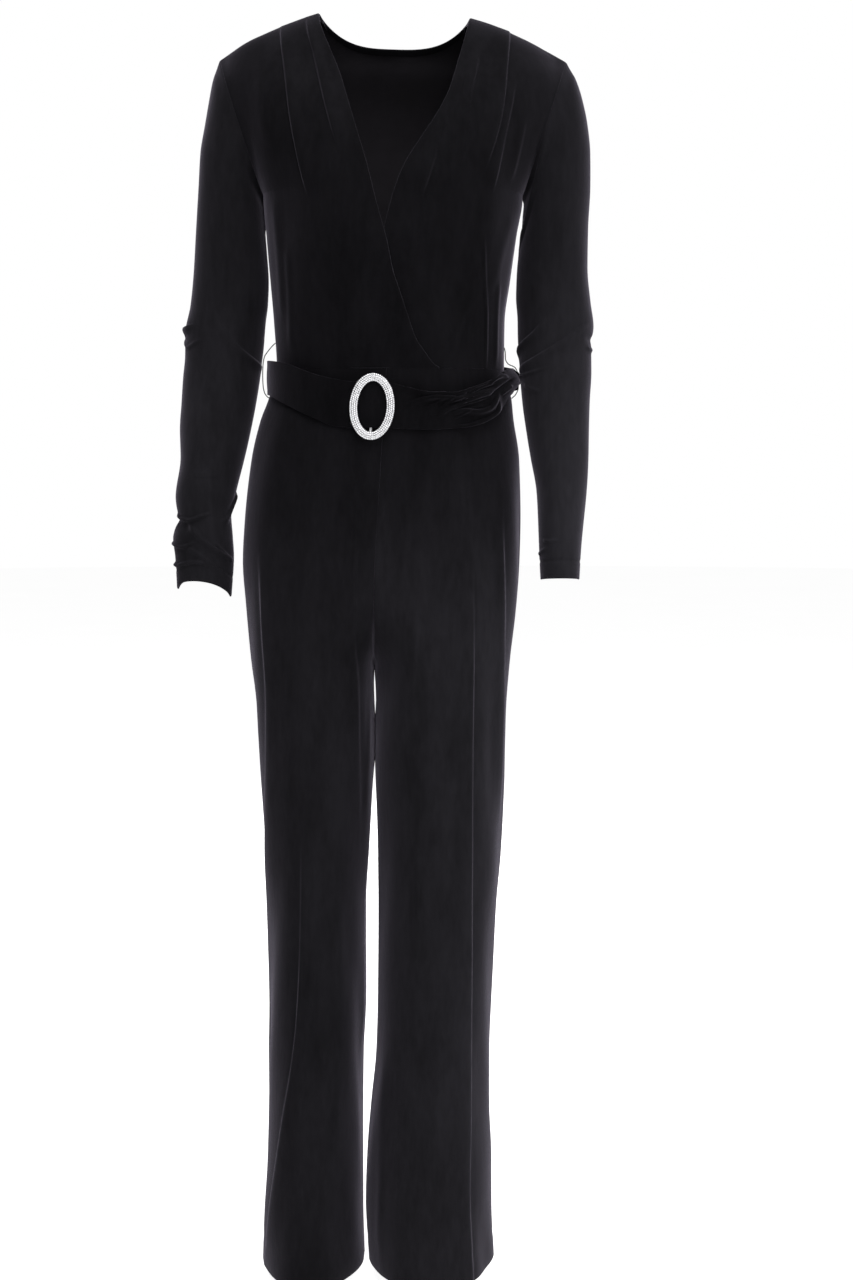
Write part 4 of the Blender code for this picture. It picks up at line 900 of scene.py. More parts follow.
def leg_points(side, facing, detail):
    turn = RISE_TURN[facing]
    z = np.concatenate([
        np.linspace(WAIST - SEAM_HALF, turn, detail.rise_rows + 1),
        mix(turn, CROTCH, np.sin(np.pi / 2 * np.arange(1, detail.curve_rows + 1) / detail.curve_rows)),
        np.linspace(CROTCH, HEM, detail.leg_rows + 1)[1:],
    ])[:, None]
    row = read(LEGS, "z", z)
    inner = row.right_inner if side == RIGHT else row.left_inner
    outer = row.right_outer if side == RIGHT else row.left_outer
    outer = np.where(z > CROTCH, side_seam_x(side, z), outer)
    across = np.sin(np.linspace(-1, 1, detail.leg_columns + 1) * np.pi / 2)[None]
    x = mix(inner, outer, (across + 1) / 2)
    full = -row.front if facing == FRONT else row.back
    hips = read(TORSO, "z", z)
    middle = (hips.right + hips.left) / 2
    hip_full = mix(full, -hips.front if facing == FRONT else hips.back, ramp(CROTCH, WAIST, z))

    def hip_form(at):
        share = np.clip((at - middle) / (outer - middle), 0.0, 1.0)
        return hip_full * (1 - share ** BODY_ROUNDNESS) ** (1 / BODY_ROUNDNESS)

    as_leg = 1 - ramp(*LEG_FORM, z)
    leg_form = full * (1 - np.maximum(0.0, across) ** LEG_ROUNDNESS) ** 0.5
    base = mix(hip_form(x), leg_form, as_leg)
    edge_full = mix(hip_form(inner), full, as_leg)
    under = np.clip((turn - z) / (turn - CROTCH), 0.0, 1.0)
    edge = edge_full * np.sqrt(1 - under ** 2)
    dip = 1 - (1 - np.maximum(0.0, -across) ** LEG_ROUNDNESS) ** mix(*RISE_STEEPNESS, under)
    y = facing * (base + (edge - edge_full) * dip)
    y = mix(y, eased(y, z, CROTCH), ramp(0.0, LEDGE_CLEAR, np.abs(x - inner)))
    return np.stack(np.broadcast_arrays(x, y, z), axis=-1)


def make_trouser_panel(name, side, facing, sizes, detail, materials):
    points = leg_points(side, facing, detail)
    rise = crease_rise(LEG_CREASES[side, facing], points[..., 0], points[..., 2])
    rise = rise - hem_groove(points, sizes.trouser_hem, sizes)
    points = lifted(points, rise, drape(points) * sizes.leg_drape, (ROW_START, COLUMN_START, COLUMN_END))
    edges = ((COLUMN_START, seam_turn(sizes, sizes.rise_allowance)),
             (COLUMN_END, seam_turn(sizes, sizes.seam_allowance)),
             (ROW_END, hem_turn(sizes, HEM_START), sizes.trouser_hem))
    return add_piece(name, points, edges, sizes, materials)


# ---------------------------------------- belt
def belt_section(facing, angle, z):
    row = read(TORSO, "z", z)
    middle = (row.right + row.left) / 2
    limit = by_side(angle, 0.0, lambda side: side_seam_x(side, z))
    x = mix(middle, limit, np.abs(np.sin(angle)))
    return np.stack(np.broadcast_arrays(x, body_depth(x, z, facing), z), axis=-1)


def belt_place(facing, angle, z, stand):
    """Points that stand off the body's outline."""
    step = math.pi / 2 - SIDE_ANGLE
    safe = np.clip(angle, -SIDE_ANGLE, SIDE_ANGLE)
    along = belt_section(facing, safe + step, z) - belt_section(facing, safe - step, z)
    normal = -facing * unit(np.stack([along[..., 1], -along[..., 0], 0 * along[..., 2]], axis=-1))
    side = np.stack([np.sign(angle) + 0 * z, 0 * z * angle, 0 * z * angle], axis=-1)
    normal = np.where((np.abs(angle) > SIDE_ANGLE)[..., None], side, normal)
    return belt_section(facing, angle, z) + normal * stand[..., None]


EDGE_STEPS = (0.0, 0.12, 0.35, 0.7)      # rows at a rounded edge, as shares of the rounding
EDGE_SHARE = 0.4         # a pressed fold rounds off over this share of its half thickness,
EDGE_LEFT = 0.04         # and keeps this share of its thickness, squared, at the very edge


def strip_shares(count, rounding):
    """Shares across the strip that crowd at its rounded edges."""
    ends = np.array(EDGE_STEPS) * rounding
    return np.concatenate([ends, np.linspace(rounding, 1 - rounding, count), 1 - ends[::-1]])


def strip_half(up, width, half):
    """Half thickness across the strip, which rounds off its folded edges."""
    from_edge = np.clip(np.minimum(up, 1 - up) * width / (half * EDGE_SHARE), 0.0, 1.0)
    return half * np.sqrt(np.maximum(EDGE_LEFT, 1 - (1 - from_edge) ** 2))


def add_strip(name, points, up, width, rise, crown_share, sizes, materials):
    """A strip of cloth with its folds, its crown across the middle and its rounded edges."""
    crown = sizes.belt_sag * np.cos(np.pi * (up - 0.5)) * crown_share
    points = points + surface_normals(points) * (rise + crown)[..., None]
    half = strip_half(up, width, sizes.belt_wall / 2)
    return add_cloth(name, points, surface_normals(points), half, materials)


def bunch(turn, up):
    """The bulge of the gathers, which is greatest at the side seam and in the middle of the strip."""
    return BUNCH_RISE * np.exp(-(turn / BUNCH_REACH) ** 2) * np.sin(np.pi * up) ** BUNCH_ROUND


CROWN_START = (BELT_FRONT[0].x, -0.110)      # the strip's crown starts between these places


def make_belt_front(name, sizes, detail, materials):
    angle = (np.pi * (np.arange(detail.belt_columns + 1) / detail.belt_columns - 0.5))[:, None]
    x = belt_section(FRONT, angle, np.full_like(angle, BELT_LEVEL))[..., 0]
    band = read(BELT_FRONT, "x", x)
    up = strip_shares(detail.belt_rows, sizes.belt_edge)[None]
    z = mix(band.low, band.top, up)
    swell = BAR_STAND * np.exp(-((x - BUCKLE_CENTRE.x) / BAR_SWELL) ** 2)
    stand = BELT_REST + swell + bunch(np.pi / 2 - angle, up)
    points = belt_place(FRONT, np.broadcast_to(angle, z.shape), band.low + 0 * z, stand)
    points[..., 2] = z
    rise = crease_rise(BELT_CREASES, points[..., 0], z)
    return add_strip(name, points, up, band.top - band.low, rise, ramp(*CROWN_START, x), sizes, materials)


def make_belt_back(name, sizes, detail, materials):
    share = (np.arange(detail.belt_back_columns + 1) / detail.belt_back_columns)[:, None]
    angle = math.pi * (0.5 - share)
    left_end, right_end = BELT_FRONT[-1], BELT_FRONT[0]
    in_back = ramp(*BACK_RISE, share) * (1 - ramp(*BACK_FALL, share))
    crossed = ramp(BACK_RISE[1], BACK_FALL[0], share)
    top = mix(mix(left_end.top, right_end.top, crossed), BACK_BELT_TOP, in_back)
    low = mix(mix(left_end.low, right_end.low, crossed), BACK_BELT_LOW, in_back)
    up = strip_shares(detail.belt_rows, sizes.belt_edge)[None]
    z = mix(low, top, up)
    stand = BELT_REST + bunch(np.pi / 2 - angle, up)
    points = belt_place(BACK, np.broadcast_to(angle, z.shape), low + 0 * z, stand)
    points[..., 2] = z
    folds = np.zeros(z.shape)
    for fold in BACK_FOLDS:
        away = up - fold.level - fold.lean * share / BACK_FOLD_RUN
        folds += fold.rise * np.exp(-(away / BACK_FOLD_WIDTH) ** 2)
    folds *= 1 - ramp(*BACK_FOLD_FADE, share)
    return add_strip(name, points, up, top - low, folds, 1.0, sizes, materials)


# ---------------------------------------- meshes from parts
def add_mesh(name, mesh_parts, finish):
    mesh = bpy.data.meshes.new(name)
    mesh_parts.to_mesh(mesh)
    mesh_parts.free()
    mesh.materials.append(finish)
    return add_object(name, mesh)


def buckle_place(turn, offset):
    """A point on the domed front of the ring, its outward normal and the direction along the ring."""
    wide = BUCKLE_HALF_WIDTH - BUCKLE_BAND / 2
    high = BUCKLE_HALF_HEIGHT - BUCKLE_BAND / 2
    along = Vector((-wide * math.sin(turn), 0, high * math.cos(turn))).normalized()
    out = Vector((along.z, 0, -along.x))
    level = offset / (BUCKLE_BAND / 2)
    dome = math.sqrt(max(0.0, 1 - level * level))
    half = BUCKLE_THICKNESS / 2
    spot = Vector((wide * math.cos(turn), -half * dome, high * math.sin(turn))) + out * offset
    normal = (out * level / (BUCKLE_BAND / 2) + Vector((0, -dome / half, 0))).normalized()
    tilt = Matrix.Rotation(BUCKLE_TILT, 4, "Y")
    return BUCKLE_CENTRE + tilt @ spot, (tilt @ normal).normalized(), (tilt @ along).normalized()


RING_STEPS = 720         # places round the ring at which its length is worked out


def ring_turns(offset, pitch, shift):
    """Angles that space stones evenly along one row of the ring."""
    fine = np.linspace(0, 2 * math.pi, RING_STEPS + 1)
    reach = reach_along(np.array([buckle_place(t, offset)[0] for t in fine]))
    count = round(reach[-1] / pitch)
    return np.interp((np.arange(count) + shift) % count * reach[-1] / count, reach, fine)


# The circles of a cut stone, with their width and rise as shares of its radius and height.
Circle = namedtuple("Circle", "points width rise shift")
FACETS = 8
TABLE = Circle(FACETS, 0.52, 1.0, 0.0)
CROWN = Circle(FACETS, 0.80, 0.56, 0.5)
GIRDLE = Circle(2 * FACETS, 1.0, 0.12, 0.0)
FOOT = Circle(2 * FACETS, 0.96, -0.5, 0.0)


def add_stone(parts, spot, normal, along, radius, height):
    """A round cut stone: a table, a crown of eight main facets and its girdle."""
    side = normal.cross(along)

    def corners(circle):
        made = []
        for i in range(circle.points):
            a = 2 * math.pi * (i + circle.shift) / circle.points
            out = (along * math.cos(a) + side * math.sin(a)) * radius * circle.width
            made.append(parts.verts.new(spot + out + normal * (height * circle.rise)))
        return made

    table, crown, girdle, foot = (corners(circle) for circle in (TABLE, CROWN, GIRDLE, FOOT))
    parts.faces.new(table)
    for i in range(FACETS):
        j = (i + 1) % FACETS
        parts.faces.new((table[i], crown[i], table[j]))
        parts.faces.new((table[j], crown[i], girdle[2 * j], crown[j]))
        parts.faces.new((crown[i], girdle[2 * i], girdle[2 * i + 1]))
        parts.faces.new((crown[i], girdle[2 * i + 1], girdle[2 * j]))
    for i in range(2 * FACETS):
        j = (i + 1) % (2 * FACETS)
        parts.faces.new((girdle[i], foot[i], foot[j], girdle[j]))
    parts.faces.new(foot[::-1])


STONE_LEAN = 0.05        # how far a stone tips off the dome,
TIP_WAVES = (53.0, 71.0)         # by waves round the ring, one along it and one across it
SPIN_WAVE = 37.0         # and how it is turned, by another wave,
SPIN_ROW = 2.1           # which each row starts this much later
BEAD_ROW = 0.98          # bead rows lie at this share of the way out to the borders between stones
BEAD_SHIFT = 0.25
BEAD_STAND = 0.6         # a bead's centre stands this share of its radius off the ring


def make_stones(sizes):
    stones = bmesh.new()
    beads = bmesh.new()
    for row in range(sizes.stone_rows):
        offset = (row - (sizes.stone_rows - 1) / 2) * sizes.row_pitch
        for turn in ring_turns(offset, sizes.stone_pitch, 0.5 * (row % 2)):
            spot, normal, along = buckle_place(turn, offset)
            spin = math.sin(turn * SPIN_WAVE + row * SPIN_ROW)
            along = Matrix.Rotation(spin, 3, normal) @ along
            tip_along = along * STONE_LEAN * math.sin(turn * TIP_WAVES[0])
            tip_across = along.cross(normal) * STONE_LEAN * math.cos(turn * TIP_WAVES[1])
            lean = (normal + tip_along + tip_across).normalized()
            add_stone(stones, spot, lean, along, sizes.stone_radius, sizes.stone_height)
    for i in range(sizes.stone_rows + 1):
        offset = (i - sizes.stone_rows / 2) * sizes.row_pitch * BEAD_ROW
        for turn in ring_turns(offset, sizes.stone_pitch, BEAD_SHIFT):
            spot, normal = buckle_place(turn, offset)[:2]
            place = Matrix.Translation(spot + normal * sizes.bead_radius * BEAD_STAND)
            bmesh.ops.create_icosphere(beads, subdivisions=1, radius=sizes.bead_radius, matrix=place)
    bmesh.ops.recalc_face_normals(stones, faces=stones.faces)
    return stones, beads


# ---------------------------------------- threads
LOOP_STRANDS = 3
LOOP_LAY = 0.0022        # length of one twist of a loop's strands
LAY_STEPS = 10
STRAND_OFFSET = 0.5      # shares of the loop's radius
STRAND_RADIUS = 0.52
STRAND_GUIDE = (0.3, 1.0, 0.2)       # a direction that no loop runs in
STITCH_LIFT = (-1.0, 0.6, 1.0, 0.6, -1.0)        # rise along one stitch, in radii of its thread


def thread_runs(name, radius, runs, finish):
    """A round thread along each run of points."""
    path = bpy.data.curves.new(name, "CURVE")
    path.dimensions = "3D"
    path.bevel_depth = radius
    path.bevel_resolution = 1
    path.use_fill_caps = True
    path.materials.append(finish)
    for spots in runs:
        run = path.splines.new("POLY")
        run.points.add(len(spots) - 1)
        run.points.foreach_set("co", np.concatenate([spots, np.ones((len(spots), 1))], axis=1).ravel())
    return add_object(name, path)


def thread_loop(name, knots, radius, finish):
    """Twisted strands round a smooth line through the knots."""
    knots = np.array(knots, float)
    reach = reach_along(knots)
    along = np.linspace(0, reach[-1], int(reach[-1] / (LOOP_LAY / LAY_STEPS)) + 1)
    line = smooth_value(reach, knots, along)
    tangent = unit(np.gradient(line, axis=0))
    across = unit(np.cross(tangent, np.array(STRAND_GUIDE)))
    up = np.cross(across, tangent)
    runs = []
    for strand in range(LOOP_STRANDS):
        angle = 2 * math.pi * (along / LOOP_LAY + strand / LOOP_STRANDS)
        off = across * np.cos(angle)[:, None] + up * np.sin(angle)[:, None]
        runs.append(line + radius * STRAND_OFFSET * off)
    return thread_runs(name, radius * STRAND_RADIUS, runs, finish)


def hem_stitches(name, line, normals, sizes, finish):
    """Short stitches sunk in a hem line that runs along the points."""
    reach = reach_along(line)
    lift = np.array(STITCH_LIFT) * sizes.stitch_radius
    runs = []
    begin = sizes.stitch_pitch / 2
    while begin + sizes.stitch_length < reach[-1]:
        at = begin + sizes.stitch_length * np.linspace(0, 1, len(lift))
        runs.append(smooth_value(reach, line, at) + smooth_value(reach, normals, at) * lift[:, None])
        begin += sizes.stitch_pitch
    return thread_runs(name, sizes.stitch_radius, runs, finish)


# ---------------------------------------- materials
SHOULDER_TO_CHEST = (-0.080, -0.200)     # the velvet's base colour changes between these levels: painted light and shade, partly the pile's lie
ARM_TO_WRIST = (-0.200, -0.500)
HIP_TO_LEG = (-0.440, -0.740)
Nap = namedtuple("Nap", "patches streaks")       # of the pile, per metre
CLOTH_NAP = Nap(26.0, 160.0)
BELT_NAP = Nap(40.0, 240.0)
PILE = 1400.0            # single tufts, per metre too
FLOOR_BOUNCE = 0.35      # share of the floor's glow that reaches the cloth


def set_inputs(node, inputs):
    """Sets or links a node's inputs, which are given by name or number."""
    for key, value in inputs.items():
        if isinstance(value, bpy.types.NodeSocket):
            node.id_data.links.new(value, node.inputs[key])
        else:
            node.inputs[key].default_value = value


def add_node(tree, kind, inputs=None, **options):
    node = tree.nodes.new(kind)
    for title, value in options.items():
        setattr(node, title, value)
    set_inputs(node, inputs or {})
    return node


def math_node(tree, operation, first, second):
    return add_node(tree, "ShaderNodeMath", {0: first, 1: second}, operation=operation).outputs[0]


def weighted(tree, first, first_share, second, second_share):
    """The sum of two values, each times its share."""
    return math_node(tree, "ADD", math_node(tree, "MULTIPLY", first, first_share),
                     math_node(tree, "MULTIPLY", second, second_share))


def noise_node(tree, spot, scale, detail=2.0, roughness=0.5):
    inputs = {"Vector": spot, "Scale": scale, "Detail": detail, "Roughness": roughness}
    return add_node(tree, "ShaderNodeTexNoise", inputs).outputs["Fac"]


def range_node(tree, value, start=(0.0, 1.0), end=(0.0, 1.0), **options):
    """A value moved from its range at the start to the one at the end."""
    inputs = {"Value": value, "From Min": start[0], "From Max": start[1], "To Min": end[0], "To Max": end[1]}
    return add_node(tree, "ShaderNodeMapRange", inputs, **options).outputs[0]


def bump_node(tree, height, strength, distance):
    inputs = {"Height": height, "Strength": strength, "Distance": distance}
    return add_node(tree, "ShaderNodeBump", inputs).outputs[0]


def part_node(tree, kind, whole, part):
    """One part of a vector or a colour."""
    return add_node(tree, kind, {0: whole}).outputs[part]


def opaque(colour, tone=1.0):
    """A colour without transparency, lighter or darker by its tone."""
    return (*(c * tone for c in colour), 1.0)


def colour_node(tree, share, first, second):
    """A mix of two colours, where each is a value or a socket."""
    return add_node(tree, "ShaderNodeMix", {0: share, 6: first, 7: second}, data_type="RGBA").outputs[2]


def object_spot(tree):
    """Positions on the object, in metres."""
    return add_node(tree, "ShaderNodeTexCoord").outputs["Object"]


def stretched(tree, scale):
    """Positions on the object, stretched by three factors."""
    return add_node(tree, "ShaderNodeMapping", {"Vector": object_spot(tree), "Scale": scale}).outputs[0]


def camera_sees(tree):
    return add_node(tree, "ShaderNodeLightPath").outputs["Is Camera Ray"]


def new_group(name, inputs, outputs):
    """A shared node group, what comes in and where its results go."""
    group = bpy.data.node_groups.new(name, "ShaderNodeTree")
    for title, value in inputs.items():
        socket = group.interface.new_socket(title, in_out="INPUT", socket_type="NodeSocketFloat")
        socket.default_value = value
    for title in outputs:
        group.interface.new_socket(title, in_out="OUTPUT", socket_type="NodeSocketFloat")
    return group, add_node(group, "NodeGroupInput").outputs, add_node(group, "NodeGroupOutput")


def nap_group():
    """Velvet pile: Shade runs from crushed to brushed pile, Height is the pile's relief."""
    inputs = {"Patches": CLOTH_NAP.patches, "Streaks": CLOTH_NAP.streaks, "Pile": PILE}
    group, given, end = new_group("velvet_nap", inputs, ("Shade", "Roughness", "Height"))
    tall = stretched(group, (1.0, 1.0, 0.30))
    patches = noise_node(group, tall, given["Patches"], detail=3.0, roughness=0.55)
    streaks = noise_node(group, tall, given["Streaks"], roughness=0.6)
    pile = noise_node(group, object_spot(group), given["Pile"], roughness=0.7)
    shade = range_node(group, weighted(group, patches, 0.65, streaks, 0.35), start=(0.34, 0.66))
    height = weighted(group, pile, 0.45, streaks, 0.55)
    rough = range_node(group, shade, end=(0.98, 0.82))
    set_inputs(end, {"Shade": shade, "Height": height, "Roughness": rough})
    return group


def wear_group():
    """Handled metal: fine rubbing marks and faint dulling."""
    group, given, end = new_group("metal_wear", {"Scale": 220.0, "Dullness": 0.2}, ("Roughness", "Height"))
    marks = noise_node(group, stretched(group, (1.0, 1.0, 0.2)), given["Scale"], detail=4.0)
    rough = math_node(group, "ADD", math_node(group, "MULTIPLY", marks, given["Dullness"]), 0.06)
    set_inputs(end, {"Roughness": rough, "Height": marks})
    return group


def group_node(tree, name, make, inputs):
    """Outputs of a shared group, which is made the first time."""
    group = bpy.data.node_groups.get(name) or make()
    return add_node(tree, "ShaderNodeGroup", inputs, node_tree=group).outputs


def new_material(name):
    made = bpy.data.materials.new(name)
    made.use_nodes = True
    return made, made.node_tree, made.node_tree.nodes["Principled BSDF"]


def named_material(name, make, *values):
    return bpy.data.materials.get(name) or make(*values)


def velvet_material(name, colours, looks, nap, pile_and_painted_light=(1.0, 1.0), painted_light_levels=(0.0, -1.0)):
    """Black velvet: very dark to the eye straight on, and silvery where the pile is seen from the side.

    Painted light and shade, partly the pile's lie, make it a little lighter or darker, from one value to the
    next between two levels.
    """
    made, tree, shader = new_material(name)
    pile = group_node(tree, "velvet_nap", nap_group, {"Patches": nap.patches, "Streaks": nap.streaks})
    height = part_node(tree, "ShaderNodeSeparateXYZ", object_spot(tree), "Z")
    level = range_node(tree, height, start=painted_light_levels, interpolation_type="SMOOTHSTEP")
    # painted light and shade: both base colours are scaled up or down by part and by height, for how the
    # lamps fall on each part, partly for the pile's lie
    high, low = (colour_node(tree, pile["Shade"], opaque(colours.velvet_deep, painted_tone),
                             opaque(colours.velvet_brushed, painted_tone)) for painted_tone in pile_and_painted_light)
    set_inputs(shader, {
        "Base Color": colour_node(tree, level, high, low), "Roughness": pile["Roughness"],
        "Normal": bump_node(tree, pile["Height"], looks.nap_bump, distance=0.0006),
        "Specular IOR Level": looks.velvet_gloss, "Sheen Weight": looks.sheen,
        "Sheen Roughness": looks.sheen_spread, "Sheen Tint": opaque(colours.sheen),
    })
    return made


def reverse_material(colours):
    """The knitted ground of the velvet: fine vertical ribs crossed by courses."""
    made, tree, shader = new_material("knit_reverse")
    spot = object_spot(tree)
    ribs, courses = (
        add_node(tree, "ShaderNodeTexWave", {"Vector": spot, "Scale": scale, "Distortion": bend},
                 bands_direction=axis).outputs["Fac"]
        for axis, scale, bend in (("X", 420.0, 0.4), ("Z", 520.0, 0.6))
    )
    knit = math_node(tree, "MULTIPLY", ribs, courses)
    cloud = noise_node(tree, spot, 55.0, detail=3.0)
    shade = weighted(tree, knit, 0.6, cloud, 0.5)
    set_inputs(shader, {
        "Base Color": colour_node(tree, shade, opaque(colours.reverse, 0.72), opaque(colours.reverse, 1.25)),
        "Normal": bump_node(tree, knit, strength=0.5, distance=0.0003),
        "Roughness": 0.92, "Specular IOR Level": 0.15,
    })
    return made


def thread_material(colours):
    made, tree, shader = new_material("twisted_thread")
    fibres = noise_node(tree, stretched(tree, (1.0, 1.0, 3.0)), 2600.0)
    set_inputs(shader, {
        "Base Color": colour_node(tree, fibres, opaque(colours.thread, 0.6), opaque(colours.thread, 1.6)),
        "Normal": bump_node(tree, fibres, strength=0.4, distance=0.0002),
        "Roughness": 0.7, "Specular IOR Level": 0.2,
    })
    return made


def silver_material(name, colour, scale, dullness, dark_front, metallic=1.0):
    """Plated metal. Between stones its front is darker: painted shade for the recesses between the stones,
    laid on the faces that turn to the front.
    """
    made, tree, shader = new_material(name)
    wear = group_node(tree, "metal_wear", wear_group, {"Scale": scale, "Dullness": dullness})
    given = add_node(tree, "ShaderNodeTexCoord").outputs
    facing = part_node(tree, "ShaderNodeSeparateXYZ", given["Normal"], "Y")
    # painted shade: faces turned to the front, between the stones, are darkened
    painted_recess_shade = range_node(tree, facing, start=(-0.35, -0.75))
    mottle = noise_node(tree, given["Object"], 900.0)
    shade = math_node(tree, "MULTIPLY", math_node(tree, "MULTIPLY", painted_recess_shade, dark_front),
                      math_node(tree, "ADD", mottle, 0.45))
    set_inputs(shader, {
        "Base Color": colour_node(tree, shade, opaque(colour), opaque(colour, 0.25)),
        "Roughness": wear["Roughness"], "Metallic": metallic,
        "Normal": bump_node(tree, wear["Height"], strength=0.15, distance=0.0002),
    })
    return made


def stone_material(colours):
    """Foil-backed clear stones: bright facets of slightly different tones, a painted reflection of the
    facets, some cells lighter and some darker.
    """
    made, tree, shader = new_material("clear_stone")
    wear = group_node(tree, "metal_wear", wear_group, {"Scale": 60.0, "Dullness": 0.04})
    cells = {"Vector": object_spot(tree), "Scale": 900.0}
    # painted reflection: cells of the stones' colour, lighter and darker, stand for facets catching the light
    # and facets mirroring dark things
    painted_facet_reflection = add_node(tree, "ShaderNodeTexVoronoi", cells).outputs["Color"]
    tone = part_node(tree, "ShaderNodeSeparateColor", painted_facet_reflection, 0)
    glow = range_node(tree, tone, start=(0.08, 0.40))
    set_inputs(shader, {
        "Base Color": colour_node(tree, glow, opaque(colours.stone, 0.70), opaque(colours.stone)),
        "Roughness": wear["Roughness"], "Metallic": 0.1, "Coat Weight": 1.0, "Coat Roughness": 0.02,
    })
    return made


def floor_material(colours, glow):
    made, tree, shader = new_material("studio_floor")
    grain = noise_node(tree, object_spot(tree), 3.0)
    colour = colour_node(tree, grain, opaque(colours.floor, 0.985), opaque(colours.floor))
    strength = range_node(tree, camera_sees(tree), end=(glow * FLOOR_BOUNCE, glow))
    set_inputs(shader, {"Base Color": colour, "Emission Color": colour, "Emission Strength": strength,
                        "Roughness": 0.9, "Specular IOR Level": 0.1})
    return made


def cloth_materials(colours, looks, section, pile_and_painted_light, painted_light_levels):
    """The face of a cloth piece and its reverse."""
    name = section + "_velvet"
    return (named_material(name, velvet_material, name, colours, looks, CLOTH_NAP, pile_and_painted_light, painted_light_levels),
            named_material("knit_reverse", reverse_material, colours))


# ---------------------------------------- sizes and colours
class JumpsuitSizes(bpy.types.PropertyGroup):
    cloth_wall: FloatProperty(name="Cloth wall", description="Thickness of the velvet",
                              default=0.0012, min=0.0006, max=0.002, unit="LENGTH")
    turn_radius: FloatProperty(name="Turn radius", description="Bend of a turned edge",
                               default=0.00065, min=0.0004, max=0.002, unit="LENGTH")
    seam_bend: FloatProperty(name="Seam bend", description="Bend of the cloth where it turns into a seam",
                             default=0.0001, min=0.00005, max=0.002, unit="LENGTH")
    seam_allowance: FloatProperty(name="Seam allowance", description="Cloth turned in at a seam",
                                  default=0.006, min=0.002, max=0.015, unit="LENGTH")
    rise_allowance: FloatProperty(name="Rise allowance",
                                  description="Cloth turned in at the inner leg and rise",
                                  default=0.003, min=0.001, max=0.010, unit="LENGTH")
    front_turn: FloatProperty(name="Front turn",
                              description="Width turned back along the front and neck edges",
                              default=0.007, min=0.004, max=0.030, unit="LENGTH")
    cuff_hem: FloatProperty(name="Cuff hem", description="Width of the hem at the wrist",
                            default=0.021, min=0.010, max=0.040, unit="LENGTH")
    trouser_hem: FloatProperty(name="Trouser hem", description="Width of the hem at the ankle",
                               default=0.030, min=0.010, max=0.060, unit="LENGTH")
    hem_sink: FloatProperty(name="Hem line depth",
                            description="How far the stitches of a hem draw the cloth in",
                            default=0.0007, min=0.0, max=0.002, unit="LENGTH")
    hem_line_width: FloatProperty(name="Hem line width", description="Reach of the drawn-in line",
                                  default=0.0018, min=0.001, max=0.005, unit="LENGTH")
    leg_drape: FloatProperty(name="Leg drape",
                             description="Unevenness of the trouser cloth against the bodice",
                             default=1.5, min=0.0, max=3.0)
    belt_wall: FloatProperty(name="Belt wall", description="Thickness of the doubled belt strip",
                             default=0.0018, min=0.001, max=0.004, unit="LENGTH")
    belt_sag: FloatProperty(name="Belt crown", description="How far the middle of the strip stands out",
                            default=0.0010, min=0.0, max=0.003, unit="LENGTH")
    belt_edge: FloatProperty(name="Belt edge",
                             description="Share of the strip's width taken by each rounded edge",
                             default=0.025, min=0.01, max=0.1)
    stone_rows: IntProperty(name="Stone rows", description="Rows of stones on the buckle",
                            default=4, min=1, max=5)
    row_pitch: FloatProperty(name="Row pitch", description="From one row of stones to the next",
                             default=0.00228, min=0.001, max=0.005, unit="LENGTH")
    stone_pitch: FloatProperty(name="Stone pitch", description="From one stone of a row to the next",
                               default=0.00235, min=0.001, max=0.005, unit="LENGTH")
    stone_radius: FloatProperty(name="Stone radius", description="Radius of a stone",
                                default=0.00107, min=0.0005, max=0.003, unit="LENGTH")
    stone_height: FloatProperty(name="Stone height", description="How far a stone stands up",
                                default=0.0007, min=0.0003, max=0.002, unit="LENGTH")
    bead_radius: FloatProperty(name="Bead radius", description="Radius of the metal beads between stones",
                               default=0.00026, min=0.0001, max=0.001, unit="LENGTH")
    loop_radius: FloatProperty(name="Loop radius", description="Radius of a thread belt loop",
                               default=0.0006, min=0.0003, max=0.002, unit="LENGTH")
    stitch_length: FloatProperty(name="Stitch length", description="Length of a hem stitch",
                                 default=0.0022, min=0.001, max=0.006, unit="LENGTH")
    stitch_pitch: FloatProperty(name="Stitch pitch", description="From one hem stitch to the next",
                                default=0.0048, min=0.002, max=0.012, unit="LENGTH")
    stitch_radius: FloatProperty(name="Stitch radius", description="Radius of the sewing thread",
                                 default=0.00018, min=0.0001, max=0.0005, unit="LENGTH")


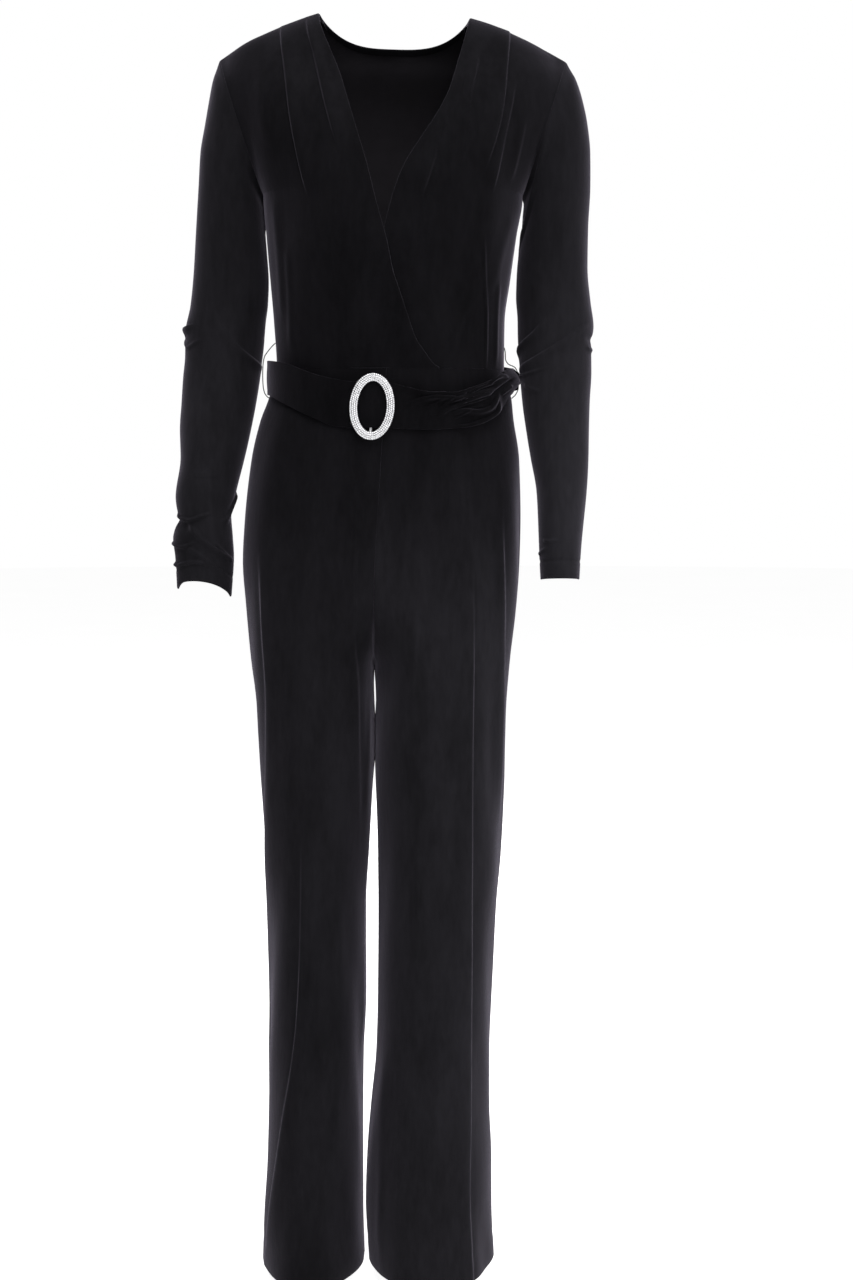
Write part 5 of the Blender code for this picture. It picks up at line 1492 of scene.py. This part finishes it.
class JumpsuitDetail(bpy.types.PropertyGroup):
    side_rows: IntProperty(name="Side rows", description="Rows from the waist to the underarm",
                           default=50, min=8, max=200)
    armhole_rows: IntProperty(name="Armhole rows", description="Rows from the underarm to the shoulder",
                              default=46, min=9, max=160)
    bodice_columns: IntProperty(name="Bodice columns", description="Columns of a bodice front",
                                default=200, min=16, max=240)
    shoulder_columns: IntProperty(name="Shoulder columns", description="Columns of the back at each shoulder",
                                  default=42, min=5, max=120)
    neck_columns: IntProperty(name="Neck columns", description="Columns of the back at the neck",
                              default=64, min=8, max=160)
    sleeve_columns: IntProperty(name="Sleeve columns", description="Points round a sleeve",
                                default=112, min=18, max=240)
    sleeve_rows: IntProperty(name="Sleeve rows", description="Rings of a sleeve",
                             default=250, min=20, max=400)
    sleeve_crowding: FloatProperty(name="Sleeve crowding",
                                   description="How much closer rings lie at elbow and cuff",
                                   default=3.0, min=0.0, max=8.0)
    rise_rows: IntProperty(name="Rise rows",
                           description="Rows of a trouser panel down to the curve of the rise",
                           default=26, min=6, max=120)
    curve_rows: IntProperty(name="Curve rows", description="Rows along the curve of the rise",
                            default=18, min=5, max=120)
    leg_rows: IntProperty(name="Leg rows", description="Rows of a trouser panel below the crotch",
                          default=70, min=12, max=400)
    leg_columns: IntProperty(name="Leg columns", description="Columns of a trouser panel",
                             default=170, min=12, max=240)
    belt_columns: IntProperty(name="Belt columns", description="Columns along the front stretch of the belt",
                              default=240, min=28, max=400)
    belt_back_columns: IntProperty(name="Back belt columns",
                                   description="Columns along the back stretch of the belt",
                                   default=150, min=28, max=400)
    belt_rows: IntProperty(name="Belt rows", description="Rows across the belt", default=56, min=8, max=120)


class JumpsuitColours(bpy.types.PropertyGroup):
    velvet_deep: FloatVectorProperty(name="Deep velvet", description="Pile seen straight on",
                                     default=(0.0026, 0.0025, 0.0029), min=0.0, max=1.0, subtype="COLOR")
    velvet_brushed: FloatVectorProperty(name="Brushed velvet", description="Pile brushed the other way",
                                        default=(0.0044, 0.0042, 0.0050), min=0.0, max=1.0, subtype="COLOR")
    sheen: FloatVectorProperty(name="Sheen", description="Glow of the pile seen from the side",
                               default=(0.70, 0.64, 0.79), min=0.0, max=1.0, subtype="COLOR")
    reverse: FloatVectorProperty(name="Reverse", description="Knitted back of the velvet",
                                 default=(0.0118, 0.0105, 0.0130), min=0.0, max=1.0, subtype="COLOR")
    thread: FloatVectorProperty(name="Thread", description="Loops and stitches",
                                default=(0.010, 0.010, 0.012), min=0.0, max=1.0, subtype="COLOR")
    silver: FloatVectorProperty(name="Silver", description="Plating of the buckle",
                                default=(0.82, 0.82, 0.84), min=0.0, max=1.0, subtype="COLOR")
    stone: FloatVectorProperty(name="Stone", description="Clear stones over foil",
                               default=(0.96, 0.96, 0.98), min=0.0, max=1.0, subtype="COLOR")
    floor: FloatVectorProperty(name="Floor", description="Studio floor",
                               default=(0.90, 0.90, 0.90), min=0.0, max=1.0, subtype="COLOR")


class JumpsuitLooks(bpy.types.PropertyGroup):
    sheen: FloatProperty(name="Sheen", description="Strength of the velvet's sheen",
                         default=0.25, min=0.0, max=1.0)
    sheen_spread: FloatProperty(name="Sheen spread", description="Roughness of the sheen",
                                default=0.36, min=0.0, max=1.0)
    velvet_gloss: FloatProperty(name="Velvet gloss", description="Plain reflection of the pile",
                                default=0.02, min=0.0, max=1.0)
    nap_bump: FloatProperty(name="Nap relief", description="Strength of the pile's relief",
                            default=0.5, min=0.0, max=1.0)
    # These pile tones scale the velvet's base colour: painted light and shade for how the lamps fall on each
    # part, partly the pile's lie
    shoulder_painted_light: FloatProperty(name="Shoulder pile", description="Lightness of the pile at the shoulders",
                                default=1.5, min=0.1, max=10.0)
    waist_painted_light: FloatProperty(name="Waist pile",
                             description="Lightness of the pile from the chest to the hips",
                             default=1.3, min=0.1, max=10.0)
    sleeve_lie: FloatProperty(name="Sleeve pile", description="Lightness of the pile on the upper arm",
                              default=2.3, min=0.1, max=10.0)
    cuff_lie: FloatProperty(name="Cuff pile", description="Lightness of the pile on the forearm",
                            default=3.2, min=0.1, max=10.0)
    leg_painted_light: FloatProperty(name="Leg pile", description="Lightness of the pile on the legs",
                           default=2.5, min=0.1, max=10.0)
    # painted light: the left forearm and leg get a lighter base colour, as the key light falls from that side
    left_painted_light: FloatProperty(name="Left pile",
                             description="Lightness of the left limbs' pile against the right ones",
                             default=1.35, min=0.5, max=3.0)
    sky: FloatProperty(name="Room light", description="Strength of the light from all sides",
                       default=0.05, min=0.0, max=3.0)
    floor_glow: FloatProperty(name="Floor glow", description="Brightness that keeps the floor evenly pale",
                              default=1.04, min=0.0, max=2.0)
    softbox: FloatProperty(name="Softbox", description="Power of the large side light",
                           default=36.0, min=0.0, subtype="POWER")
    fill: FloatProperty(name="Fill", description="Power of the front fill light",
                        default=36.0, min=0.0, subtype="POWER")


# ---------------------------------------- operators
FLOOR_RADIUS = 14.0
FLOOR_CORNERS = 64
FLOOR_DROP = 0.022       # the floor lies this far under the hems
LIGHT_AIM = (0.0, 0.0, -0.7)
Lamp = namedtuple("Lamp", "name place size power share")     # a share of one of the powers in the looks
LAMPS = (
    Lamp("softbox_left", (2.6, -0.3, -0.5), 2.4, "softbox", 1.0),
    Lamp("softbox_right", (-2.6, -0.3, -0.5), 2.4, "softbox", 0.12),
    Lamp("overhead", (0.0, -1.1, 2.0), 2.2, "softbox", 2.6),
    Lamp("front_fill", (0.9, -3.3, 0.6), 2.2, "fill", 1.0),
    Lamp("back_light", (0.2, 3.4, 0.2), 1.2, "softbox", 2.0),
)
CAMERA_PLACE = (0.0387, -2.6, -0.4744)
CAMERA_DOWN = 5.45       # degrees under the level
CAMERA_LENS = 61.96      # millimetres, as is the sensor
CAMERA_SENSOR = 36.0
CAMERA_FAR = 100.0
SETTINGS = ("sizes", "detail", "colours", "looks")


def settings(context, *names):
    """The named groups of the scene's settings."""
    return [getattr(context.scene, "jumpsuit_" + name) for name in names]


def make_floor(colours, looks):
    turns = [2 * math.pi * i / FLOOR_CORNERS for i in range(FLOOR_CORNERS)]
    corners = [(FLOOR_RADIUS * math.cos(a), FLOOR_RADIUS * math.sin(a), HEM - FLOOR_DROP) for a in turns]
    mesh = bpy.data.meshes.new("studio_floor")
    mesh.from_pydata(corners, [], [list(range(FLOOR_CORNERS))])
    mesh.materials.append(floor_material(colours, looks.floor_glow))
    floor = add_object("studio_floor", mesh)


def make_room(looks):
    """Even light from all sides, which the camera sees as white."""
    world = bpy.data.worlds.new("studio")
    world.use_nodes = True
    tree = world.node_tree
    tree.nodes.clear()
    strength = range_node(tree, camera_sees(tree), end=(looks.sky, 1.0))
    light = add_node(tree, "ShaderNodeBackground", {"Color": (1.0, 1.0, 1.0, 1.0), "Strength": strength})
    add_node(tree, "ShaderNodeOutputWorld", {"Surface": light.outputs[0]})
    bpy.context.scene.world = world


def add_lamp(lamp, looks):
    data = bpy.data.lights.new(lamp.name, "AREA")
    data.shape = "SQUARE"
    data.size = lamp.size
    data.energy = getattr(looks, lamp.power) * lamp.share
    made = add_object(lamp.name, data)
    made.location = lamp.place
    made.rotation_euler = (Vector(LIGHT_AIM) - Vector(lamp.place)).to_track_quat("-Z", "Y").to_euler()
    made.visible_camera = False


def make_camera():
    data = bpy.data.cameras.new("camera")
    data.lens = CAMERA_LENS
    data.sensor_width = CAMERA_SENSOR
    data.clip_end = CAMERA_FAR
    camera = add_object("camera", data)
    camera.location = CAMERA_PLACE
    camera.rotation_euler = (math.radians(90 - CAMERA_DOWN), 0, 0)
    bpy.context.scene.camera = camera


class JUMPSUIT_OT_stage(bpy.types.Operator):
    """Make the floor, the lights and the camera"""
    bl_idname = "jumpsuit.stage"
    bl_label = "Stage"

    def execute(self, context):
        colours, looks = settings(context, "colours", "looks")
        make_floor(colours, looks)
        make_room(looks)
        context.scene.view_settings.view_transform = "Standard"
        for lamp in LAMPS:
            add_lamp(lamp, looks)
        make_camera()
        return {"FINISHED"}


class JUMPSUIT_OT_bodice(bpy.types.Operator):
    """Make the two wrap fronts and the back of the bodice"""
    bl_idname = "jumpsuit.bodice"
    bl_label = "Bodice"

    def execute(self, context):
        sizes, detail, colours, looks = settings(context, *SETTINGS)
        # painted light: the shoulders and upper chest are made lighter than the waist
        pile_and_painted_light = (looks.shoulder_painted_light, looks.waist_painted_light)
        materials = cloth_materials(colours, looks, "bodice", pile_and_painted_light, SHOULDER_TO_CHEST)
        back = make_back_bodice("back_bodice_velvet", sizes, detail, materials)
        dress(back, "back_bodice")
        for side, word in SIDE_WORDS:
            node = "front_bodice_" + word
            front = make_front_bodice(node + "_velvet", side, sizes, detail, materials)
            dress(front, node)
        return {"FINISHED"}


class JUMPSUIT_OT_sleeves(bpy.types.Operator):
    """Make the two sleeves with their cuff hems"""
    bl_idname = "jumpsuit.sleeves"
    bl_label = "Sleeves"

    def execute(self, context):
        sizes, detail, colours, looks = settings(context, *SETTINGS)
        finish = named_material("twisted_thread", thread_material, colours)
        for side, word in SIDE_WORDS:
            # painted light and shade: the upper arm and the forearm get their own base colour tones, the left
            # forearm lighter still, partly for the pile's lie
            pile_and_painted_light = (looks.sleeve_lie, looks.cuff_lie * (looks.left_painted_light if side == LEFT else 1.0))
            node = "sleeve_" + word
            materials = cloth_materials(colours, looks, node, pile_and_painted_light, ARM_TO_WRIST)
            sleeve, (line, normals) = make_sleeve(node + "_velvet", side, sizes, detail, materials)
            stitches = hem_stitches("cuff_" + word + "_stitches", line, normals, sizes, finish)
            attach(stitches, "root")
            dress(sleeve, node)
        return {"FINISHED"}


class JUMPSUIT_OT_trousers(bpy.types.Operator):
    """Make the four trouser panels"""
    bl_idname = "jumpsuit.trousers"
    bl_label = "Trousers"

    def execute(self, context):
        sizes, detail, colours, looks = settings(context, *SETTINGS)
        for side, word in SIDE_WORDS:
            # painted light and shade: the hips and the legs get their own base colour tones, the left leg
            # lighter still, partly for the pile's lie
            pile_and_painted_light = (looks.waist_painted_light, looks.leg_painted_light * (looks.left_painted_light if side == LEFT else 1.0))
            materials = cloth_materials(colours, looks, "trouser_" + word, pile_and_painted_light, HIP_TO_LEG)
            for facing, part, above in ((FRONT, "trouser_front_", "front_bodice_" + word + "_velvet"),
                                        (BACK, "trouser_back_", "back_bodice_velvet")):
                node = part + word
                panel = make_trouser_panel(node + "_velvet", side, facing, sizes, detail, materials)
                dress(panel, node)
        return {"FINISHED"}


class JUMPSUIT_OT_belt(bpy.types.Operator):
    """Make the belt, flat at one side of the buckle and bunched at the other"""
    bl_idname = "jumpsuit.belt"
    bl_label = "Belt"

    def execute(self, context):
        sizes, detail, colours, looks = settings(context, *SETTINGS)
        face = velvet_material("belt_velvet", colours, looks, BELT_NAP)
        back = make_belt_back("belt_back_velvet", sizes, detail, (face, face))
        dress(back, "belt_back")
        front = make_belt_front("belt_front_velvet", sizes, detail, (face, face))
        dress(front, "belt_front")
        return {"FINISHED"}


class JUMPSUIT_OT_buckle(bpy.types.Operator):
    """Give the buckle its plating and set its stones"""
    bl_idname = "jumpsuit.buckle"
    bl_label = "Buckle"

    def execute(self, context):
        sizes, colours = settings(context, "sizes", "colours")
        # the ring's plating carries painted shade between its stones
        plate = silver_material("set_silver", colours.silver, scale=220.0, dullness=0.25, dark_front=0.9)
        # painted reflection: the bar gets a near-white base colour and little metal, so it shows bright all
        # across as its plating's reflection would
        painted_bright_bar = silver_material("plain_silver", colours.stone, scale=500.0, dullness=0.60, dark_front=0.0,
                              metallic=0.3)
        for node, finish in (("buckle", plate), ("buckle_bar", painted_bright_bar)):
            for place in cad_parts[node].material_slots:
                place.material = finish
        stone_parts, bead_parts = make_stones(sizes)
        stones = add_mesh("buckle_stones", stone_parts, stone_material(colours))
        beads = add_mesh("buckle_beads", bead_parts, plate)
        beads.data.shade_smooth()
        for piece in (stones, beads):
            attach(piece, "root")
        return {"FINISHED"}


class JUMPSUIT_OT_threads(bpy.types.Operator):
    """Make the thread belt loops"""
    bl_idname = "jumpsuit.threads"
    bl_label = "Threads"

    def execute(self, context):
        sizes, colours = settings(context, "sizes", "colours")
        finish = named_material("twisted_thread", thread_material, colours)
        for side, word in SIDE_WORDS:
            node = "belt_loop_" + word
            loop = thread_loop(node + "_thread", THREAD_LOOPS[side], sizes.loop_radius, finish)
            dress(loop, node)
        return {"FINISHED"}


OPERATORS = (JUMPSUIT_OT_stage, JUMPSUIT_OT_bodice, JUMPSUIT_OT_sleeves, JUMPSUIT_OT_trousers,
             JUMPSUIT_OT_belt, JUMPSUIT_OT_buckle, JUMPSUIT_OT_threads)
GROUPS = {"jumpsuit_sizes": JumpsuitSizes, "jumpsuit_detail": JumpsuitDetail,
          "jumpsuit_colours": JumpsuitColours, "jumpsuit_looks": JumpsuitLooks}


class JUMPSUIT_PT_panel(bpy.types.Panel):
    """Lists the pieces of the jumpsuit with their sizes and colours"""
    bl_idname = "JUMPSUIT_PT_panel"
    bl_label = "Jumpsuit"
    bl_space_type = "VIEW_3D"
    bl_region_type = "UI"
    bl_category = "Jumpsuit"

    def draw(self, context):
        for operator in OPERATORS:
            self.layout.operator(operator.bl_idname, text=operator.bl_label)
        for title, group in GROUPS.items():
            box = self.layout.box()
            for name in group.__annotations__:
                box.prop(getattr(context.scene, title), name)


def register():
    for group in GROUPS.values():
        bpy.utils.register_class(group)
    for thing in (*OPERATORS, JUMPSUIT_PT_panel):
        bpy.utils.register_class(thing)
    for title, group in GROUPS.items():
        setattr(bpy.types.Scene, title, PointerProperty(type=group))


def unregister():
    for title in GROUPS:
        delattr(bpy.types.Scene, title)
    for thing in (JUMPSUIT_PT_panel, *reversed(OPERATORS), *reversed(list(GROUPS.values()))):
        bpy.utils.unregister_class(thing)


def main():
    register()
    bpy.ops.jumpsuit.stage()
    bpy.ops.jumpsuit.bodice()
    bpy.ops.jumpsuit.sleeves()
    bpy.ops.jumpsuit.trousers()
    bpy.ops.jumpsuit.belt()
    bpy.ops.jumpsuit.buckle()
    bpy.ops.jumpsuit.threads()


if __name__ == "__main__":
    main()
